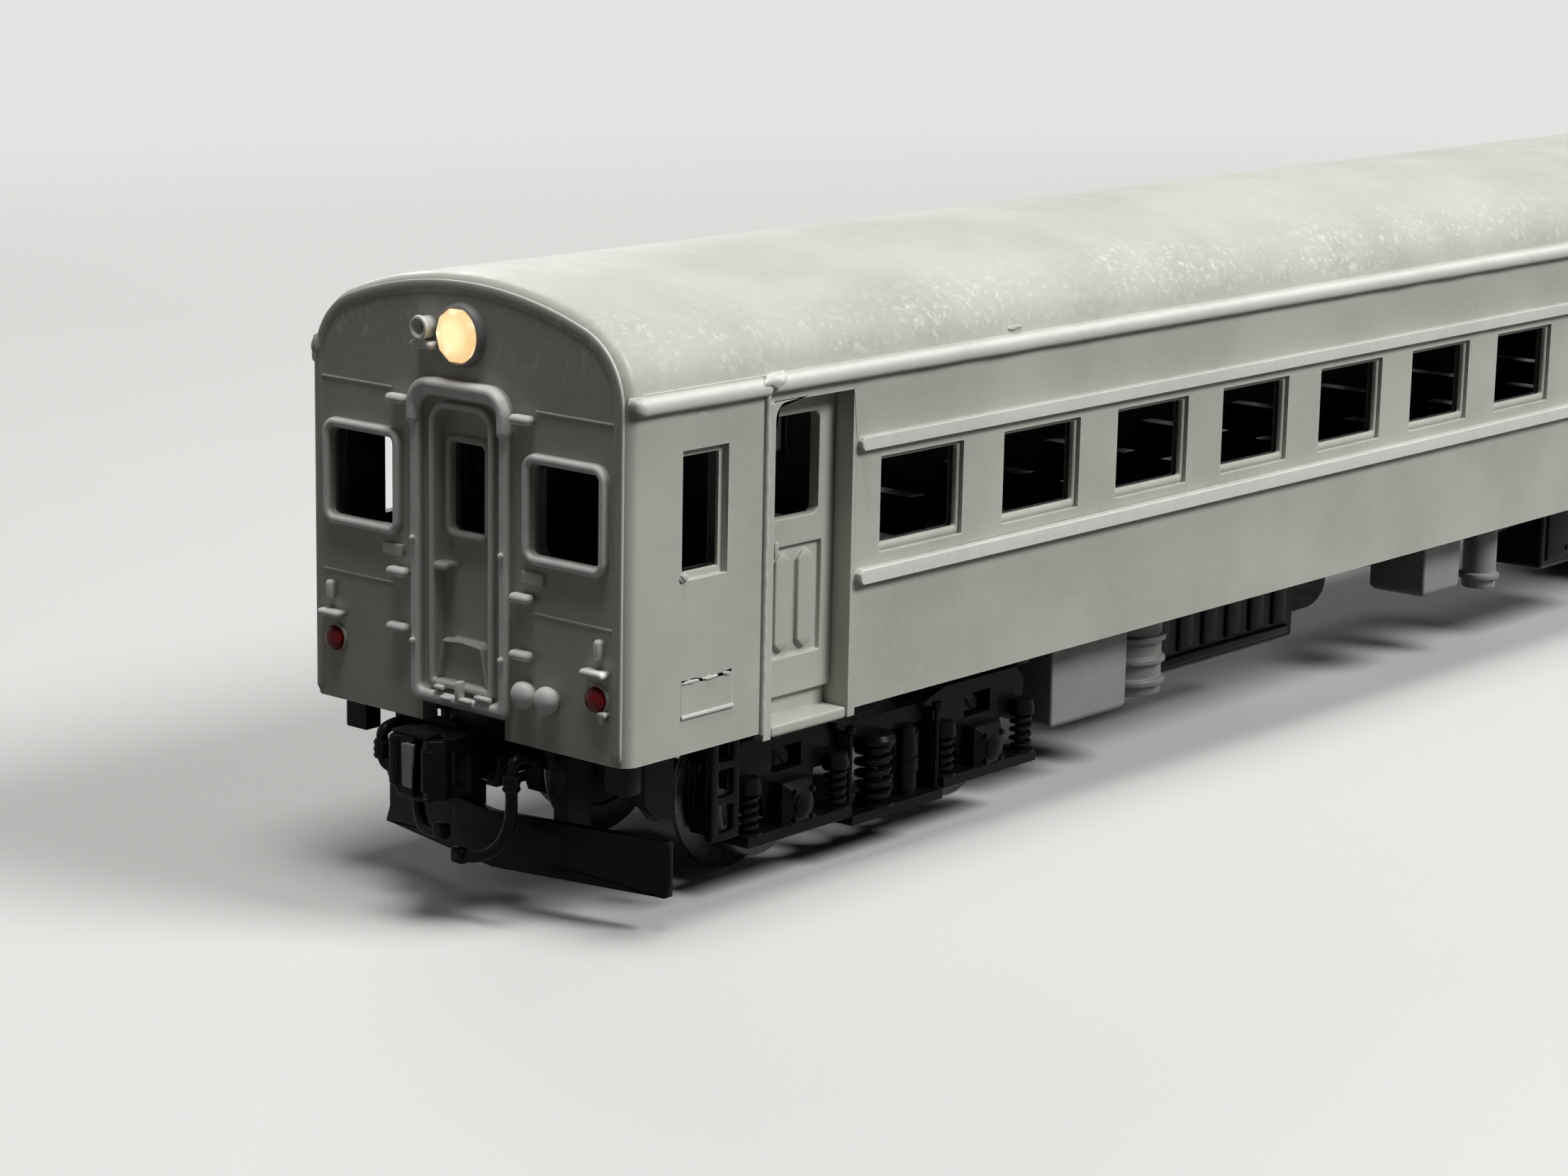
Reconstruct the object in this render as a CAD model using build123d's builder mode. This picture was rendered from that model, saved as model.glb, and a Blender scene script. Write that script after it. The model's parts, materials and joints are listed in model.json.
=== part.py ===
"""Scale model of a double-ended diesel railcar, in millimetres.

An unpainted plastic model of a one-car train, to run on 9 mm gauge track: a grey body shell in end caps,
side walls and a roof, a black chassis with underfloor equipment, and two trucks that swivel on kingpins
and carry two wheelsets each.

X runs along the car, with the photographed end at -X. Y runs across it. Z is up from the flange tips.
Places along the car are given as distances back from the front face. Everything at the rear end and on
the left side is the same moulding turned half round about the middle of the car.
"""

import os
from math import asin, atan2, cos, degrees, pi, sqrt

from build123d import *

# Body shell
body_width = 19.0
window_count = 11
window_pitch = 8.9
first_window = 19.2
body_length = 2 * first_window + (window_count - 1) * window_pitch
body_bottom = 8.0
wall = 0.9
roof_top = 27.6
eaves_drop = 4.63
roof_shoulder_radius = 3.6
face_round = 0.75
first_cut = 0.586 * face_round
second_cut = 0.216 * face_round
cab_depth = 8.5

# Rain gutter
gutter_drop = 0.22
gutter_height = 0.8
gutter_reach = 0.4
gutter_bevel = 0.22
gutter_start = 0.9

# Saloon windows and the raised bands above and below them
window_width = 5.9
window_height = 4.3
window_sill = 14.8
window_frame = 0.42
window_frame_proud = 0.18
header_gap = 0.45
header_height = 0.6
header_proud = 0.3
sill_band_gap = 0.55
sill_band_height = 0.65
sill_band_proud = 0.38
band_bevel = 0.18
band_start = 14.6

# Recessed entrance doors
door_start = 9.1
door_width = 5.2
door_head = 0.45
door_recess = 1.0
door_thickness = 0.55
door_bottom = 9.05
jamb = 0.5
jamb_depth = 1.7
jamb_drop = 0.35
seat_gap = 0.05
seam_rib_proud = 0.12
door_window_width = 3.0
door_window_height = 4.5
door_window_head = 0.9
door_panel_width = 3.5
door_panel_bottom = 10.75
door_panel_gap = 1.25
door_panel_depth = 0.2
door_corner = 0.25
door_rib_width = 1.0
door_rib_spacing = 1.5
door_rib_margin = 0.3
door_rib_corner = 0.35
step_height = 0.5
riser_thickness = 0.4

# Cab side window
cab_window_start = 3.6
cab_window_width = 2.25
cab_window_sill = 15.75
cab_window_height = 4.9
cab_window_step = 0.3
cab_window_step_depth = 0.3

# End windows
end_window_margin = 0.95
end_window_gap = 0.6
end_window_bottom = 15.75
end_window_height = 4.75
end_window_frame = 0.38
end_window_frame_proud = 0.3
end_window_corner = 0.42
end_window_pane_corner = 0.28

# Gangway frame and door in the end face
gangway_width = 6.1
gangway_bottom = 8.95
gangway_frame = 0.6
gangway_proud = 0.5
gangway_ledge = 0.4
gangway_ledge_proud = 0.2
gangway_top_corner = 1.5
gangway_bottom_corner = 0.6
hood_height = 1.9
hood_overhang = 0.22
hood_proud = 0.85
hood_corner = 1.5
gangway_door_setback = 0.45
gangway_door_window_width = 2.1
gangway_door_window_height = 3.9
gangway_door_window_sill = 16.5
gangway_door_window_frame = 0.28
gangway_door_window_proud = 0.18
gangway_door_window_corner = 0.22
gangway_handle_offset = 1.25
gangway_handle_height = 15.0
gangway_handle_length = 0.8
gangway_handle_proud = 0.3
foot_plate_bottom = 10.0
foot_plate_height = 1.9
foot_plate_wide = 3.2
foot_plate_narrow = 2.4
foot_plate_thickness = 0.3
foot_plate_corner = 0.35
notch_width = 5.0
notch_height = 0.85

# Lamps, horn and small mouldings on the face
headlamp_drop = 2.55
headlamp_gap = 0.58
headlamp_radius = 1.4
headlamp_proud = 0.6
headlamp_bevel = 0.12
lens_radius = 1.15
lens_proud = 0.25
lens_clearance = 0.03
lens_seat = 0.15
lens_edge = 0.35
tail_lamp_inset = 1.6
tail_lamp_height = 10.75
tail_lamp_radius = 0.52
tail_lamp_proud = 0.4
tail_lamp_bevel = 0.15
horn_from_lamp = 0.75
horn_rise = 0.2
horn_radius = 0.6
horn_bore = 0.38
horn_length = 0.9
horn_back = 0.2
horn_shelf_width = 1.6
horn_shelf_thickness = 0.38
handle_offset = 3.75
handle_length = 1.1
handle_thickness = 0.32
handle_proud = 0.5
handle_heights = (11.95, 14.4, 21.9)
lamp_step_inset = 1.4
lamp_step_length = 1.8
lamp_step_height = 11.9
lamp_step_proud = 0.65
lamp_bracket_width = 0.5
lamp_bracket_bottom = 12.5
lamp_bracket_height = 0.85
lamp_bracket_proud = 0.4
socket_offset = 3.95
socket_spacing = 1.35
socket_height = 10.3
socket_radius = 0.58
socket_proud = 0.75

# Wheels and trucks
wheel_diameter = 5.7
flange_height = 0.9
flange_thickness = 0.6
wheel_thickness = 2.2
back_to_back = 7.4
axle_radius = 0.75
axle_shoulder = 0.1
journal_radius = 0.5
journal_clearance = 0.05
journal_bore_depth = 0.55
journal_end_gap = 0.07
wheelbase = 13.8
truck_from_face = 19.7
side_frame_inner = 6.5
side_frame_thickness = 0.8
truck_half_length = 10.5
frame_top = 6.95
frame_dip = 6.5
frame_bottom = 4.85
centre_beam_bottom = 5.6
centre_beam_half = 3.0
pedestal_half_width = 1.4
pedestal_bottom = 3.2
pedestal_slope = 0.5
frame_end_corner = 0.6
beam_slope = 1.4
box_window_width = 2.0
box_window_height = 1.1
box_window_bottom = 5.15
axle_box_width = 2.0
axle_box_height = 2.1
axle_box_proud = 1.1
axle_box_chamfer = 0.45
wing_spring_offset = 3.0
wing_spring_radius = 0.55
wing_spring_turns = 3
wing_bar_half = 3.55
wing_bar_bottom = 2.4
wing_bar_height = 0.5
spring_setting_out = 0.45
spring_inset = 0.1
spring_cap_height = 0.6
spring_groove = 0.68
bolster_spring_radius = 0.9
bolster_spring_turns = 4
bolster_spring_place = -0.85
damper_place = 1.5
damper_radius = 0.5
hanger_offset = 3.15
hanger_thickness = 0.35
hanger_overlap = 0.3
spring_plank_half = 3.3
spring_plank_bottom = 1.95
spring_plank_height = 0.45
bolster_half_width = 2.6
bolster_bottom = 4.9
bolster_top = 6.3
spine_half_width = 2.4
spine_bottom = 5.4
spine_half_length = 9.0
kingpin_radius = 1.2
kingpin_head_radius = 2.0
kingpin_head = 0.5
kingpin_head_side_count = 6
kingpin_grip = 1.7
pin_clearance = 0.05
fit_clearance = 0.02

# Chassis and underfloor equipment
floor_bottom = 8.3
floor_thickness = 1.0
floor_clearance = 0.05
boss_radius = 2.3
sill_half_width = 1.6
sill_depth = 1.0
draft_box_half_width = 1.6
draft_box_length = 3.4
draft_box_bottom = 6.1
draft_box_start = 0.95
tray_thickness = 0.5
weight_thickness = 1.2
weight_half_width = 7.0
weight_half_length = 36.0
seat_pitch = 8.9
seat_width = 5.2
seat_height = 2.6
seat_thickness = 1.1
seat_aisle = 2.4
tray_margin = 0.2
tray_end = 2.0
seat_count = 10
partition_start = 8.6
partition_thickness = 0.4
partition_side_gap = 1.05
partition_height = 11.0
partition_door_width = 3.0
partition_door_height = 9.6
partition_door_proud = 0.15
gearbox_start = 58.0
gearbox_radius = 2.2
gearbox_length = 7.0
box_inset = 1.6
engine_half_width = 4.6
fuel_tank_gap = 0.4
box_bevel = 0.2
canister_ring = 0.2
canister_ring_height = 0.35
canister_ring_start = 0.5
canister_ring_pitch = 1.1

# Coupler, hoses, plough and ladders
coupler_height = 6.9
coupler_thickness = 2.0
shank_half_width = 0.75
head_reach = 3.0
head_length = 2.1
head_half_width = 1.45
head_height = 2.6
jaw_radius = 0.6
jaw_wall = 0.1
jaw_offset = 0.3
head_bevel = 0.5
beam_front = 0.45
beam_half_width = 4.7
beam_bottom = 7.0
beam_lip = 0.45
beam_gap = 0.2
hose_radius = 0.28
hose_reach = 0.7
hose_height = 7.5
hose_loop_inner = 3.0
hose_loop_outer = 4.3
hose_loop_bottom = 5.8
hose_bend = 0.35
hose_side_count = 6
plough_bottom = 1.5
plough_height = 2.5
plough_inset = 0.9
plough_centre = 1.7
plough_sweep = 1.8
plough_thickness = 0.5
plough_hollow = 0.25
plough_lip = 0.7
plough_arm_offset = 3.2
plough_arm_width = 0.7
plough_arm_length = 1.6
ladder_start = 6.7
ladder_width = 1.8
ladder_inset = 0.25
ladder_thickness = 0.4
ladder_bottom = 3.2
ladder_rail = 0.4
ladder_rung_count = 3
rung_height = 0.35
plate_start = 3.2
plate_width = 1.9
plate_foot = 1.1
plate_bottom = 4.6
plate_thickness = 0.5
plate_inset = 1.0
corner_bracket_start = 1.1
corner_bracket_length = 0.9
corner_bracket_width = 1.3
corner_bracket_bottom = 6.4

# Sides that stand for a circle on small round mouldings, which keeps their facets few
rod_side_count = 12
wing_spring_side_count = 6
bolster_spring_side_count = 8
lamp_side_count = 14
canister_side_count = 12
wheel_side_count = 24

# Worked out from the sizes above
face_x = -body_length / 2
half_width = body_width / 2
shoulder_y = half_width - roof_shoulder_radius
spring_z = roof_top - eaves_drop
crown_rise = eaves_drop - roof_shoulder_radius
roof_crown_radius = (shoulder_y**2 + eaves_drop**2 - roof_shoulder_radius**2) / (2 * crown_rise)
crown_z = roof_top - roof_crown_radius
crown_half_angle = degrees(asin(shoulder_y / (roof_crown_radius - roof_shoulder_radius)))
shoulder_angle = 90 - crown_half_angle
wheel_radius = wheel_diameter / 2
axle_z = flange_height + wheel_radius
truck_x = face_x + truck_from_face
gutter_bottom = spring_z - gutter_drop
gutter_top = gutter_bottom + gutter_height
door_top = gutter_bottom - door_head
door_window_sill = door_top - door_window_head - door_window_height
door_panel_height = door_window_sill - door_panel_gap - door_panel_bottom
header_bottom = window_sill + window_height + header_gap
sill_band_bottom = window_sill - sill_band_gap - sill_band_height
headlamp_height = roof_top - headlamp_drop
gangway_top = headlamp_height - headlamp_radius - headlamp_gap - hood_overhang
end_window_width = half_width - end_window_margin - gangway_width / 2 - end_window_gap
horn_offset = headlamp_radius + horn_from_lamp
horn_height = headlamp_height + horn_rise
tail_lamp_offset = half_width - tail_lamp_inset
lamp_step_offset = half_width - lamp_step_inset
plough_half_width = half_width - plough_inset
ladder_outer = half_width - wall - ladder_inset
engine_inset = half_width - engine_half_width
fuel_tank_depth = engine_inset - box_inset - fuel_tank_gap
door_centre = door_start + door_width / 2
door_face = half_width - door_recess
floor_half_width = half_width - wall - floor_clearance
partition_half_width = floor_half_width - partition_side_gap
tray_bottom = floor_bottom + floor_thickness
sill_bottom = floor_bottom - sill_depth

os.makedirs("parts", exist_ok=True)


def save(piece, node):
    """Write one sub-part as parts/node.step."""
    piece.label = node
    export_step(piece, f"parts/{node}.step")


def save_both(piece, node, first="front", second="rear"):
    """Write a sub-part, and the same moulding turned half round about the middle of the car."""
    save(piece, f"{node}_{first}")
    save(piece.rotate(Axis.Z, 180), f"{node}_{second}")


def at_face(distance):
    """X of a place that lies this far back from the front face."""
    return face_x + distance


def body_section(x, z_low, inset=0.0):
    """Body outline across the car at x: straight sides, round shoulders, flat crown, moved in by inset."""
    half = half_width - inset
    shoulder = roof_shoulder_radius - inset
    crown = roof_crown_radius - inset
    with BuildSketch(Plane.YZ.offset(x), mode=Mode.PRIVATE) as section:
        with BuildLine():
            Line((-half, z_low), (-half, spring_z))
            CenterArc((-shoulder_y, spring_z), shoulder, 180, -shoulder_angle)
            CenterArc((0, crown_z), crown, 90 + crown_half_angle, -2 * crown_half_angle)
            CenterArc((shoulder_y, spring_z), shoulder, shoulder_angle, -shoulder_angle)
            Line((half, spring_z), (half, z_low))
            Line((half, z_low), (-half, z_low))
        make_face()
    return section.sketch


def gutter_section(x):
    """Both rain gutters across the car at x: a strip with a bevelled lip on each side."""
    with BuildSketch(Plane.YZ.offset(x), mode=Mode.PRIVATE) as section:
        for side in (-1, 1):
            with BuildLine():
                inner = side * (half_width - wall / 2)
                outer = side * half_width
                lip = outer + side * gutter_reach
                Polyline(
                    (outer, gutter_bottom),
                    (inner, gutter_bottom),
                    (inner, gutter_top),
                    (outer, gutter_top),
                    (lip, gutter_top - gutter_bevel),
                    (lip, gutter_bottom + gutter_bevel),
                    close=True,
                )
            make_face()
    return section.sketch


# Cab end caps
with BuildPart() as cab:
    extrude(body_section(face_x, body_bottom), amount=cab_depth)
    # the round between face and sides, in three bands
    front_edges = cab.faces().sort_by(Axis.X)[0].edges().sort_by(Axis.Z)[1:]
    chamfer(front_edges, first_cut)
    inner_edges = cab.faces().sort_by(Axis.X)[0].edges().sort_by(Axis.Z)[1:]
    outer_edges = cab.edges().filter_by_position(Axis.X, face_x + 0.9 * first_cut, face_x + 1.1 * first_cut)
    chamfer(inner_edges + outer_edges, second_cut)
    extrude(gutter_section(at_face(gutter_start)), amount=cab_depth - gutter_start)
    extrude(body_section(at_face(wall), body_bottom - 1, wall), amount=cab_depth, mode=Mode.SUBTRACT)
    # end windows with raised frames
    window_centre = half_width - end_window_margin - end_window_width / 2
    window_middle = end_window_bottom + end_window_height / 2
    with BuildSketch(Plane.YZ.offset(face_x + wall)) as frames:
        with Locations((-window_centre, window_middle), (window_centre, window_middle)):
            Rectangle(end_window_width, end_window_height)
        chamfer(frames.vertices(), end_window_corner)
    extrude(amount=-(wall + end_window_frame_proud))
    with BuildSketch(Plane.YZ.offset(face_x - 1)) as panes:
        with Locations((-window_centre, window_middle), (window_centre, window_middle)):
            Rectangle(end_window_width - 2 * end_window_frame, end_window_height - 2 * end_window_frame)
        chamfer(panes.vertices(), end_window_pane_corner)
    extrude(amount=wall + 2, mode=Mode.SUBTRACT)
    # opening for the gangway door, and the notch over the coupler
    door_height = gangway_top - gangway_bottom - 2 * gangway_frame
    with BuildSketch(Plane.YZ.offset(face_x - 1)):
        with Locations((0, (gangway_top + gangway_bottom) / 2)):
            Rectangle(gangway_width - 2 * gangway_frame, door_height)
        with Locations((0, body_bottom)):
            Rectangle(notch_width, 2 * notch_height)
    extrude(amount=wall + 2, mode=Mode.SUBTRACT)
    # side windows, with a stepped reveal
    cab_window_middle = cab_window_sill + cab_window_height / 2
    side_window = (at_face(cab_window_start + cab_window_width / 2), cab_window_middle)
    for depth, step in ((wall + 1, 0), (cab_window_step_depth, cab_window_step)):
        for plane in (Plane.XZ.offset(half_width - depth), Plane.XZ.offset(-half_width - 1)):
            with BuildSketch(plane):
                with Locations(side_window):
                    Rectangle(cab_window_width + 2 * step, cab_window_height + 2 * step)
            extrude(amount=depth + 1, mode=Mode.SUBTRACT)
    # handles beside the gangway, lamp steps and brackets
    for side in (-1, 1):
        for height in handle_heights:
            with Locations((face_x, side * handle_offset, height)):
                Box(2 * handle_proud, handle_length, handle_thickness)
        with Locations((face_x, side * lamp_step_offset, lamp_step_height)):
            Box(2 * lamp_step_proud, lamp_step_length, handle_thickness)
        with Locations((face_x, side * lamp_step_offset, lamp_bracket_bottom + lamp_bracket_height / 2)):
            Box(2 * lamp_bracket_proud, lamp_bracket_width, lamp_bracket_height)
    # jumper sockets, on one side only
    with BuildSketch(Plane.YZ.offset(face_x + wall / 2)):
        with Locations((-socket_offset, socket_height), (-socket_offset - socket_spacing, socket_height)):
            RegularPolygon(socket_radius, rod_side_count)
    extrude(amount=-(wall / 2 + socket_proud))
save_both(cab.part, "cab")

# Gangway frame: a raised ring with a rain hood, and a ledge inside it
with BuildPart() as gangway:
    frame_middle = (gangway_bottom + gangway_top) / 2
    frame_height = gangway_top - gangway_bottom
    with BuildSketch(Plane.YZ.offset(face_x)):
        with Locations((0, frame_middle)):
            Rectangle(gangway_width, frame_height)
    extrude(amount=-gangway_proud)
    fillet(gangway.edges().filter_by(Axis.X).group_by(Axis.Z)[-1], gangway_top_corner)
    chamfer(gangway.edges().filter_by(Axis.X).group_by(Axis.Z)[0], gangway_bottom_corner)
    with BuildSketch(Plane.YZ.offset(face_x)) as hood_outline:
        with Locations((0, gangway_top + hood_overhang / 2 - hood_height / 2)):
            Rectangle(gangway_width + 2 * hood_overhang, hood_height + hood_overhang)
        fillet(hood_outline.vertices().group_by(Axis.Y)[-1], hood_corner)
    extrude(amount=-hood_proud)
    with BuildSketch(Plane.YZ.offset(face_x)) as door_way:
        with Locations((0, frame_middle)):
            Rectangle(gangway_width - 2 * gangway_frame, frame_height - 2 * gangway_frame)
        fillet(door_way.vertices().group_by(Axis.Y)[-1], gangway_top_corner - gangway_frame / 2)
    extrude(amount=-hood_proud, mode=Mode.SUBTRACT)
    with BuildSketch(Plane.YZ.offset(face_x + gangway_door_setback)):
        with Locations((0, frame_middle)):
            Rectangle(gangway_width - 2 * gangway_frame, frame_height - 2 * gangway_frame)
            Rectangle(
                gangway_width - 2 * gangway_frame - 2 * gangway_ledge,
                frame_height - 2 * gangway_frame - 2 * gangway_ledge,
                mode=Mode.SUBTRACT,
            )
    extrude(amount=-(gangway_door_setback + gangway_ledge_proud))
save_both(gangway.part, "gangway_frame")

# Gangway door: a tall window in a raised frame, the folded foot plate and a handle
with BuildPart() as gangway_door:
    leaf_width = gangway_width - 2 * gangway_frame
    leaf_height = frame_height - 2 * gangway_frame
    leaf_x = at_face(gangway_door_setback)
    pane_middle = gangway_door_window_sill + gangway_door_window_height / 2
    with BuildSketch(Plane.YZ.offset(leaf_x)):
        with Locations((0, frame_middle)):
            Rectangle(leaf_width - 2 * seat_gap, leaf_height - 2 * seat_gap)
    extrude(amount=wall - gangway_door_setback)
    with BuildSketch(Plane.YZ.offset(leaf_x)) as pane_frame:
        with Locations((0, pane_middle)):
            Rectangle(
                gangway_door_window_width + 2 * gangway_door_window_frame,
                gangway_door_window_height + 2 * gangway_door_window_frame,
            )
        chamfer(pane_frame.vertices(), gangway_door_window_corner)
    extrude(amount=-gangway_door_window_proud)
    with BuildSketch(Plane.YZ.offset(leaf_x - 1)) as pane:
        with Locations((0, pane_middle)):
            Rectangle(gangway_door_window_width, gangway_door_window_height)
        chamfer(pane.vertices(), gangway_door_window_corner)
    extrude(amount=wall + 1, mode=Mode.SUBTRACT)
    with BuildSketch(Plane.YZ.offset(leaf_x)) as foot_plate:
        with BuildLine():
            Polyline(
                (-foot_plate_wide / 2, foot_plate_bottom),
                (foot_plate_wide / 2, foot_plate_bottom),
                (foot_plate_narrow / 2, foot_plate_bottom + foot_plate_height),
                (-foot_plate_narrow / 2, foot_plate_bottom + foot_plate_height),
                close=True,
            )
        make_face()
        chamfer(foot_plate.vertices().group_by(Axis.Y)[-1], foot_plate_corner)
    extrude(amount=-foot_plate_thickness)
    with Locations((leaf_x, gangway_handle_offset, gangway_handle_height)):
        Box(2 * gangway_handle_proud, gangway_handle_length, handle_thickness)
save_both(gangway_door.part, "gangway_door")

# Headlamp, its lens, tail lamps and horn
with BuildPart() as headlamp:
    with BuildSketch(Plane.YZ.offset(face_x)):
        with Locations((0, headlamp_height)):
            RegularPolygon(headlamp_radius, lamp_side_count)
    extrude(amount=-headlamp_proud)
    chamfer(headlamp.faces().sort_by(Axis.X)[0].edges(), headlamp_bevel)
    with BuildSketch(Plane.YZ.offset(face_x - headlamp_proud)):
        with Locations((0, headlamp_height)):
            RegularPolygon(lens_radius, lamp_side_count)
    extrude(amount=headlamp_proud - lens_seat, mode=Mode.SUBTRACT)
save_both(headlamp.part, "headlamp")

with BuildPart() as lens:
    with BuildSketch(Plane.YZ.offset(face_x - lens_seat)):
        with Locations((0, headlamp_height)):
            RegularPolygon(lens_radius - lens_clearance, lamp_side_count)
    extrude(amount=-(headlamp_proud - lens_seat + lens_proud))
    chamfer(lens.faces().sort_by(Axis.X)[0].edges(), lens_proud, lens_edge)
save_both(lens.part, "headlamp_lens")

with BuildPart() as tail_lamps:
    with BuildSketch(Plane.YZ.offset(face_x)):
        with Locations((-tail_lamp_offset, tail_lamp_height), (tail_lamp_offset, tail_lamp_height)):
            RegularPolygon(tail_lamp_radius, rod_side_count)
    extrude(amount=-tail_lamp_proud)
    chamfer(tail_lamps.faces().group_by(Axis.X)[0].edges(), tail_lamp_bevel)
save_both(tail_lamps.part, "tail_lamps")

with BuildPart() as horn:
    with BuildSketch(Plane.YZ.offset(face_x)):
        with Locations((horn_offset, horn_height)):
            RegularPolygon(horn_radius, rod_side_count)
        with Locations((horn_offset, horn_height - horn_radius)):
            Rectangle(horn_shelf_width, horn_shelf_thickness)
    extrude(amount=-horn_length)
    with BuildSketch(Plane.YZ.offset(face_x - horn_length)):
        with Locations((horn_offset, horn_height)):
            RegularPolygon(horn_bore, rod_side_count)
    extrude(amount=horn_length - horn_back, mode=Mode.SUBTRACT)
save_both(horn.part, "horn")

# Side wall with eleven windows and a recessed doorway near each end
wall_start = at_face(cab_depth)
wall_length = body_length - 2 * cab_depth
window_places = [(at_face(first_window + i * window_pitch), window_sill + window_height / 2)
                 for i in range(window_count)]
door_places = [(side * (body_length / 2 - door_centre), 0) for side in (-1, 1)]
tread_bottom = body_bottom - jamb_drop
door_opening_height = door_top - tread_bottom
door_opening_middle = (door_top + tread_bottom) / 2
with BuildPart() as side_wall:
    with BuildSketch(Plane.XZ.offset(half_width)):
        with Locations((0, (body_bottom + gutter_bottom) / 2)):
            Rectangle(wall_length, gutter_bottom - body_bottom)
    extrude(amount=-wall)
    # raised bands and window frames
    band_length = body_length - 2 * band_start
    with BuildSketch(Plane.XZ.offset(half_width)) as header_band:
        with Locations((0, header_bottom + header_height / 2)):
            Rectangle(band_length, header_height)
        chamfer(header_band.vertices(), band_bevel)
    extrude(amount=header_proud)
    with BuildSketch(Plane.XZ.offset(half_width)) as sill_band:
        with Locations((0, sill_band_bottom + sill_band_height / 2)):
            Rectangle(band_length, sill_band_height)
        chamfer(sill_band.vertices(), band_bevel)
    extrude(amount=sill_band_proud)
    with BuildSketch(Plane.XZ.offset(half_width)):
        with Locations(*window_places):
            Rectangle(window_width + 2 * window_frame, window_height + 2 * window_frame)
    extrude(amount=window_frame_proud)
    with BuildSketch(Plane.XZ.offset(half_width + 1)):
        with Locations(*window_places):
            Rectangle(window_width, window_height)
    extrude(amount=-(wall + 2), mode=Mode.SUBTRACT)
    # door surrounds reach inwards as jambs, and a little below the wall
    with BuildSketch(Plane.XZ.offset(half_width)):
        with Locations(*[(x, (tread_bottom + gutter_bottom) / 2) for x, z in door_places]):
            Rectangle(door_width + 2 * jamb, gutter_bottom - tread_bottom)
    extrude(amount=-jamb_depth)
    with BuildSketch(Plane.XZ.offset(half_width + 1)):
        with Locations(*[(x, door_opening_middle - 1) for x, z in door_places]):
            Rectangle(door_width, door_opening_height + 2)
    extrude(amount=-(jamb_depth + 2), mode=Mode.SUBTRACT)
    # rib at the seam with each cab
    with BuildSketch(Plane.XZ.offset(half_width)):
        for side in (-1, 1):
            with Locations((side * (wall_length / 2 - jamb / 2), door_opening_middle)):
                Rectangle(jamb, door_opening_height)
    extrude(amount=seam_rib_proud)
save_both(side_wall.part, "side_wall", "right", "left")

# Entrance doors, set back in the side wall
leaf_span = door_top - door_bottom
with BuildPart() as doors:
    with BuildSketch(Plane.XZ.offset(door_face)):
        with Locations(*[(x, (door_top + door_bottom) / 2 - seat_gap / 2) for x, z in door_places]):
            Rectangle(door_width - 2 * seat_gap, leaf_span - seat_gap)
    extrude(amount=-door_thickness)
    with BuildSketch(Plane.XZ.offset(door_face)) as door_panes:
        with Locations(*[(x, door_window_sill + door_window_height / 2) for x, z in door_places]):
            Rectangle(door_window_width, door_window_height)
        chamfer(door_panes.vertices(), door_corner)
    extrude(amount=-door_thickness, mode=Mode.SUBTRACT)
    panel_middle = door_panel_bottom + door_panel_height / 2
    rib_shift = door_rib_spacing / 2
    rib_places = [(x + shift, panel_middle) for x, z in door_places for shift in (-rib_shift, rib_shift)]
    with BuildSketch(mode=Mode.PRIVATE) as rib_outline:
        Rectangle(door_rib_width, door_panel_height - 2 * door_rib_margin)
        chamfer(rib_outline.vertices(), door_rib_corner)
    with BuildSketch(Plane.XZ.offset(door_face)):
        with Locations(*[(x, panel_middle) for x, z in door_places]):
            Rectangle(door_panel_width, door_panel_height)
        with Locations(*rib_places):
            add(rib_outline.sketch, mode=Mode.SUBTRACT)
    extrude(amount=-door_panel_depth, mode=Mode.SUBTRACT)
save_both(doors.part, "entrance_doors", "right", "left")

# Steps below the doors: a tread level with the side and a riser behind it
with BuildPart() as steps:
    for x, z in door_places:
        with BuildSketch(Plane.XZ.offset(half_width)):
            with Locations((x, tread_bottom + step_height / 2)):
                Rectangle(door_width - 2 * seat_gap, step_height)
        extrude(amount=-(jamb_depth - riser_thickness))
        with BuildSketch(Plane.XZ.offset(half_width - jamb_depth + riser_thickness)):
            with Locations((x, (tread_bottom + door_bottom) / 2)):
                Rectangle(door_width - 2 * seat_gap, door_bottom - tread_bottom)
        extrude(amount=-riser_thickness)
save_both(steps.part, "door_steps", "right", "left")

# Roof with its gutters
with BuildPart() as roof:
    extrude(body_section(wall_start, gutter_bottom), amount=wall_length)
    extrude(gutter_section(wall_start), amount=wall_length)
    extrude(body_section(wall_start, gutter_bottom - 1, wall), amount=wall_length, mode=Mode.SUBTRACT)
save(roof.part, "roof")

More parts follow.
